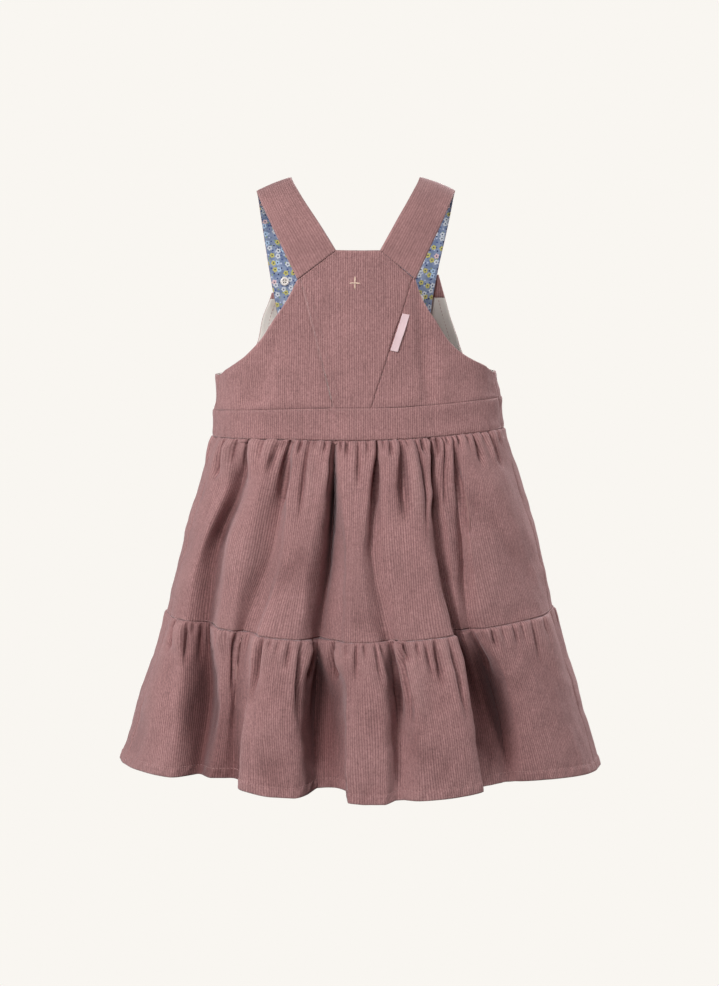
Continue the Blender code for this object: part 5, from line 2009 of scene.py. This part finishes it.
@dataclass
class Buttons:
    """Four-hole buttons that hold the bib, a spare on the longer strap, and a backing behind each."""

    cloths: Cloths
    spare: tuple[tuple[Side, float, float], ...] = ((Side.LEFT, 0.0703, -0.0942),)
    fastened: tuple[tuple[Side, float, float], ...] = (
        (Side.LEFT, 0.0650, -0.1270), (Side.RIGHT, -0.0635, -0.1110),
    )
    clear: float = 0.0006
    rings: int = 30
    spokes: int = 96
    holes_at: float = 0.35
    hole: float = 0.125

    def disc(self, kind: ButtonKind) -> Array:
        """Rings of points from the middle of the face round the rim to the middle of the back, facing z.

        Face height: thick * (0.62 + 0.38 * rim - well), where rim rises and rounds off near the
        edge, and each of four wells is a steep round pit half the button deep.

        Args:
            kind: front button or backing.

        Returns:
            Positions, one row for each ring.
        """
        radius, thick = kind.value
        share = np.concatenate([np.linspace(0.0, 0.5, self.rings), np.linspace(0.53, 0.90, self.rings // 2)])
        face = share[:, None] * radius
        turn = np.radians(np.arange(self.spokes) * 360 / self.spokes)[None]
        x, y = face * np.cos(turn), face * np.sin(turn)
        rim = smoothstep((share - 0.50) / 0.20) * (1 - 0.35 * smoothstep((share - 0.78) / 0.14))
        height = 0.62 + 0.38 * rim[:, None] + 0 * turn
        for corner in HOLE_TURNS:
            hole_x, hole_y = self.holes_at * np.cos(corner), self.holes_at * np.sin(corner)
            away = np.hypot(x / radius - hole_x, y / radius - hole_y)
            height = height - 0.5 * (1 - smoothstep((away - self.hole + 0.025) / 0.05))
        face_grid = np.stack([x, y, height * thick], -1)
        bend = np.radians(np.linspace(50, -90, 12))[:, None]
        r = radius * (0.90 + 0.10 * np.cos(bend))
        z = thick * (0.45 + 0.40 * np.sin(bend))
        side = np.stack([r * np.cos(turn), r * np.sin(turn), z + 0 * turn], -1)
        under = np.stack([x[::-6] * 0.98, y[::-6] * 0.98, 0 * x[::-6] + 0.02 * thick], -1)
        return np.concatenate([face_grid, side, under])

    def hole_shade_mask(self, points: Array, kind: ButtonKind) -> Array:
        """How far inside one of the four holes each point of a button lies, for the painted shade there.

        Args:
            points: positions, the button facing z.
            kind: front button or backing.

        Returns:
            From 0 outside to 1 inside.
        """
        radius, thick = kind.value
        x, y = points[:, :1] / radius, points[:, 1:2] / radius
        hole_x, hole_y = self.holes_at * np.cos(HOLE_TURNS), self.holes_at * np.sin(HOLE_TURNS)
        away = np.hypot(x - hole_x, y - hole_y).min(axis=1)
        return (1 - smoothstep((away - self.hole) / 0.05)) * (points[:, 2] > 0.05 * thick)

    def faces(self, rings: int) -> list[list[int]]:
        """Quads between rings, with a triangle fan round each end's single point.

        Args:
            rings: how many, with both ends.

        Returns:
            Corner numbers of each face.
        """
        index = 1 + np.arange((rings - 2) * self.spokes).reshape(rings - 2, self.spokes)
        after = np.roll(index, -1, axis=1)
        quads = np.stack([index[:-1], index[1:], after[1:], after[:-1]], -1).reshape(-1, 4)
        last = index.max() + 1
        first_fan = np.stack([np.zeros_like(index[0]), index[0], after[0]], -1)
        last_fan = np.stack([np.full_like(index[0], last), after[-1], index[-1]], -1)
        return quads.tolist() + first_fan.tolist() + last_fan.tolist()

    def add(self, name: str, kind: ButtonKind, centre: Array, facing: Array) -> None:
        """Makes one button, with the thread through its holes.

        Args:
            name: of the node it stands for.
            kind: front button or backing.
            centre: middle of its back.
            facing: the way its face looks.
        """
        radius, thick = kind.value
        facing = unit(facing)
        right = unit(np.cross((0.0, 0.0, 1.0), facing))
        axes = np.stack([right, np.cross(facing, right), facing])
        rings = self.disc(kind)
        flat = np.concatenate([rings[0][:1], rings[1:-1].reshape(-1, 3), rings[-1][:1]])
        piece = mesh_object(name, flat @ axes + centre, self.faces(len(rings)), [self.cloths.button])
        # painted shade in the four holes, kept on the points for the finish
        keep_on_points(piece, "hole", self.hole_shade_mask(flat, kind))
        dress_piece(piece, Slot.BUTTON, [name])
        sewing = Sewing(f"{name}_thread")
        holes = np.stack([np.cos(HOLE_TURNS), np.sin(HOLE_TURNS), np.zeros(4)], -1)
        holes = holes * (self.holes_at - 0.05) * radius
        holes[:, 2] = thick * 0.52
        holes = holes @ axes + centre
        starts, ends = holes[[0, 1]], holes[[2, 3]]
        sewing.stitch(starts, ends, np.stack([facing, facing]), radius * 0.11)
        sewing.finish(self.cloths.button_thread, Slot.TAPE)

    def build(self, straps: dict[Side, Strap]) -> None:
        """Places a button in front and a backing behind the lining at each spot.

        Args:
            straps: the built straps.
        """
        for use, spots in (("spare", self.spare), ("bib", self.fastened)):
            for side, x, z in spots:
                point, normal = straps[side].spot(x, z)
                behind = point - normal * (CORDUROY_WALL + straps[side].gap + COTTON_WALL + self.clear)
                self.add(f"backing_{use}_{side.word}", ButtonKind.BACKING, behind, -normal)
                if use == "bib":
                    height = FORM.height_at(z)
                    around = FORM.around_at(x, height, True)
                    column, _ = FORM.place(np.full(3, around), height + np.array([-0.1, 0, 0.1]))
                    _, level = FORM.place(around, np.array(height))
                    down = column[2] - column[0]
                    point, normal = column[1], unit(level - down * (level @ down) / (down @ down))
                self.add(f"button_{use}_{side.word}", ButtonKind.FRONT, point + normal * self.clear, normal)


# ---- studio ---------------------------------------------------------------------------------
@dataclass
class Studio:
    """Warm white sweep, soft lights and the camera."""

    white: Colour = linear(249, 246, 241)
    camera_at: tuple[float, float, float] = (-0.0038, 2.6, -0.08)
    look_at: tuple[float, float, float] = (-0.0038, 0.0, -0.297)
    lens: float = 99.07
    middle: tuple[float, float, float] = (0.0, 0.0, -0.30)
    lamp_distance: float = 3.0

    def sweep(self) -> None:
        """Floor and backdrop in one surface: a level floor that curves up at the back, all round."""
        floor_z, radius, bend = -1.05, 3.6, 0.9
        turn = np.radians(np.arange(97) * 360 / 96)[None]
        out = np.concatenate([
            np.linspace(0.001, radius - bend, 6),
            radius - bend + bend * np.sin(np.radians(np.linspace(10, 90, 9))), np.full(4, radius),
        ])[:, None]
        up = np.concatenate([
            np.zeros(6), bend * (1 - np.cos(np.radians(np.linspace(10, 90, 9)))), np.linspace(1.5, 4.2, 4)
        ])[:, None]
        points = np.stack([out * np.sin(turn), out * np.cos(turn), floor_z + up + 0 * turn], -1)
        s = Shader("warm white paper")
        s.set(
            Base_Color=(0.0, 0.0, 0.0, 1.0), Specular_IOR_Level=0.0, Emission_Color=(*self.white, 1.0),
            Emission_Strength=1.0,
        )
        present = np.ones(points.shape[:2], bool)
        sweep = mesh_object("sweep", points.reshape(-1, 3), grid_quads(present).tolist(), [s.material])
        sweep.visible_diffuse = sweep.visible_glossy = sweep.visible_shadow = False

    def lamp(self, name: str, around: float, above: float, size: float, watts: float) -> None:
        """Square soft light aimed at the dress.

        Args:
            name: of the light.
            around: degrees round from behind the dress, + towards the wearer's left.
            above: degrees above level.
            size: side in metres.
            watts: energy.
        """
        light = bpy.data.lights.new(name, "AREA")
        light.shape, light.size, light.energy, light.color = "SQUARE", size, watts, (1.0, 0.99, 0.98)
        lamp = bpy.data.objects.new(name, light)
        turn, rise = np.radians(around), np.radians(above)
        way = Vector((np.sin(turn) * np.cos(rise), np.cos(turn) * np.cos(rise), np.sin(rise)))
        lamp.location = Vector(self.middle) + way * self.lamp_distance
        lamp.rotation_euler = way.to_track_quat("Z", "Y").to_euler()
        bpy.context.scene.collection.objects.link(lamp)

    def build(self) -> None:
        """Makes all of it."""
        self.sweep()
        scene = bpy.context.scene
        world = bpy.data.worlds.new("studio air")
        world.use_nodes = True
        world.node_tree.nodes["Background"].inputs["Color"].default_value = (*self.white, 1.0)
        world.node_tree.nodes["Background"].inputs["Strength"].default_value = 0.05
        scene.world = world
        for turned in (0, 180):
            self.lamp("key", 32 + turned, 24, 0.9, 60)
            self.lamp("front", 9 + turned, 24, 0.5, 19)
            self.lamp("high left", 70 + turned, 38, 1.0, 14)
            self.lamp("low right", -72 + turned, 8, 1.0, 31)
        camera = bpy.data.cameras.new("camera")
        camera.lens = self.lens
        eye = bpy.data.objects.new("camera", camera)
        eye.location = self.camera_at
        way = Vector(self.look_at) - Vector(self.camera_at)
        eye.rotation_euler = way.to_track_quat("-Z", "Y").to_euler()
        scene.collection.objects.link(eye)
        scene.camera = eye
        scene.view_settings.view_transform = "Standard"


def main() -> None:
    """Builds the dress piece by piece, then the studio."""
    logging.basicConfig(level=logging.INFO, format="%(name)s: %(message)s")
    cloths = Cloths()
    Skirt(cloths).build()
    Waistband(cloths).build()
    bodice = BackBodice(cloths)
    bodice.build()
    Bib(cloths).build()
    straps = {side: Strap(cloths, side) for side in Side}
    for strap in straps.values():
        strap.build()
    Label(cloths).build()
    Motif(cloths).build(bodice)
    Buttons(cloths).build(straps)
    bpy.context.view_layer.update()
    Studio().build()


if __name__ == "__main__":
    main()
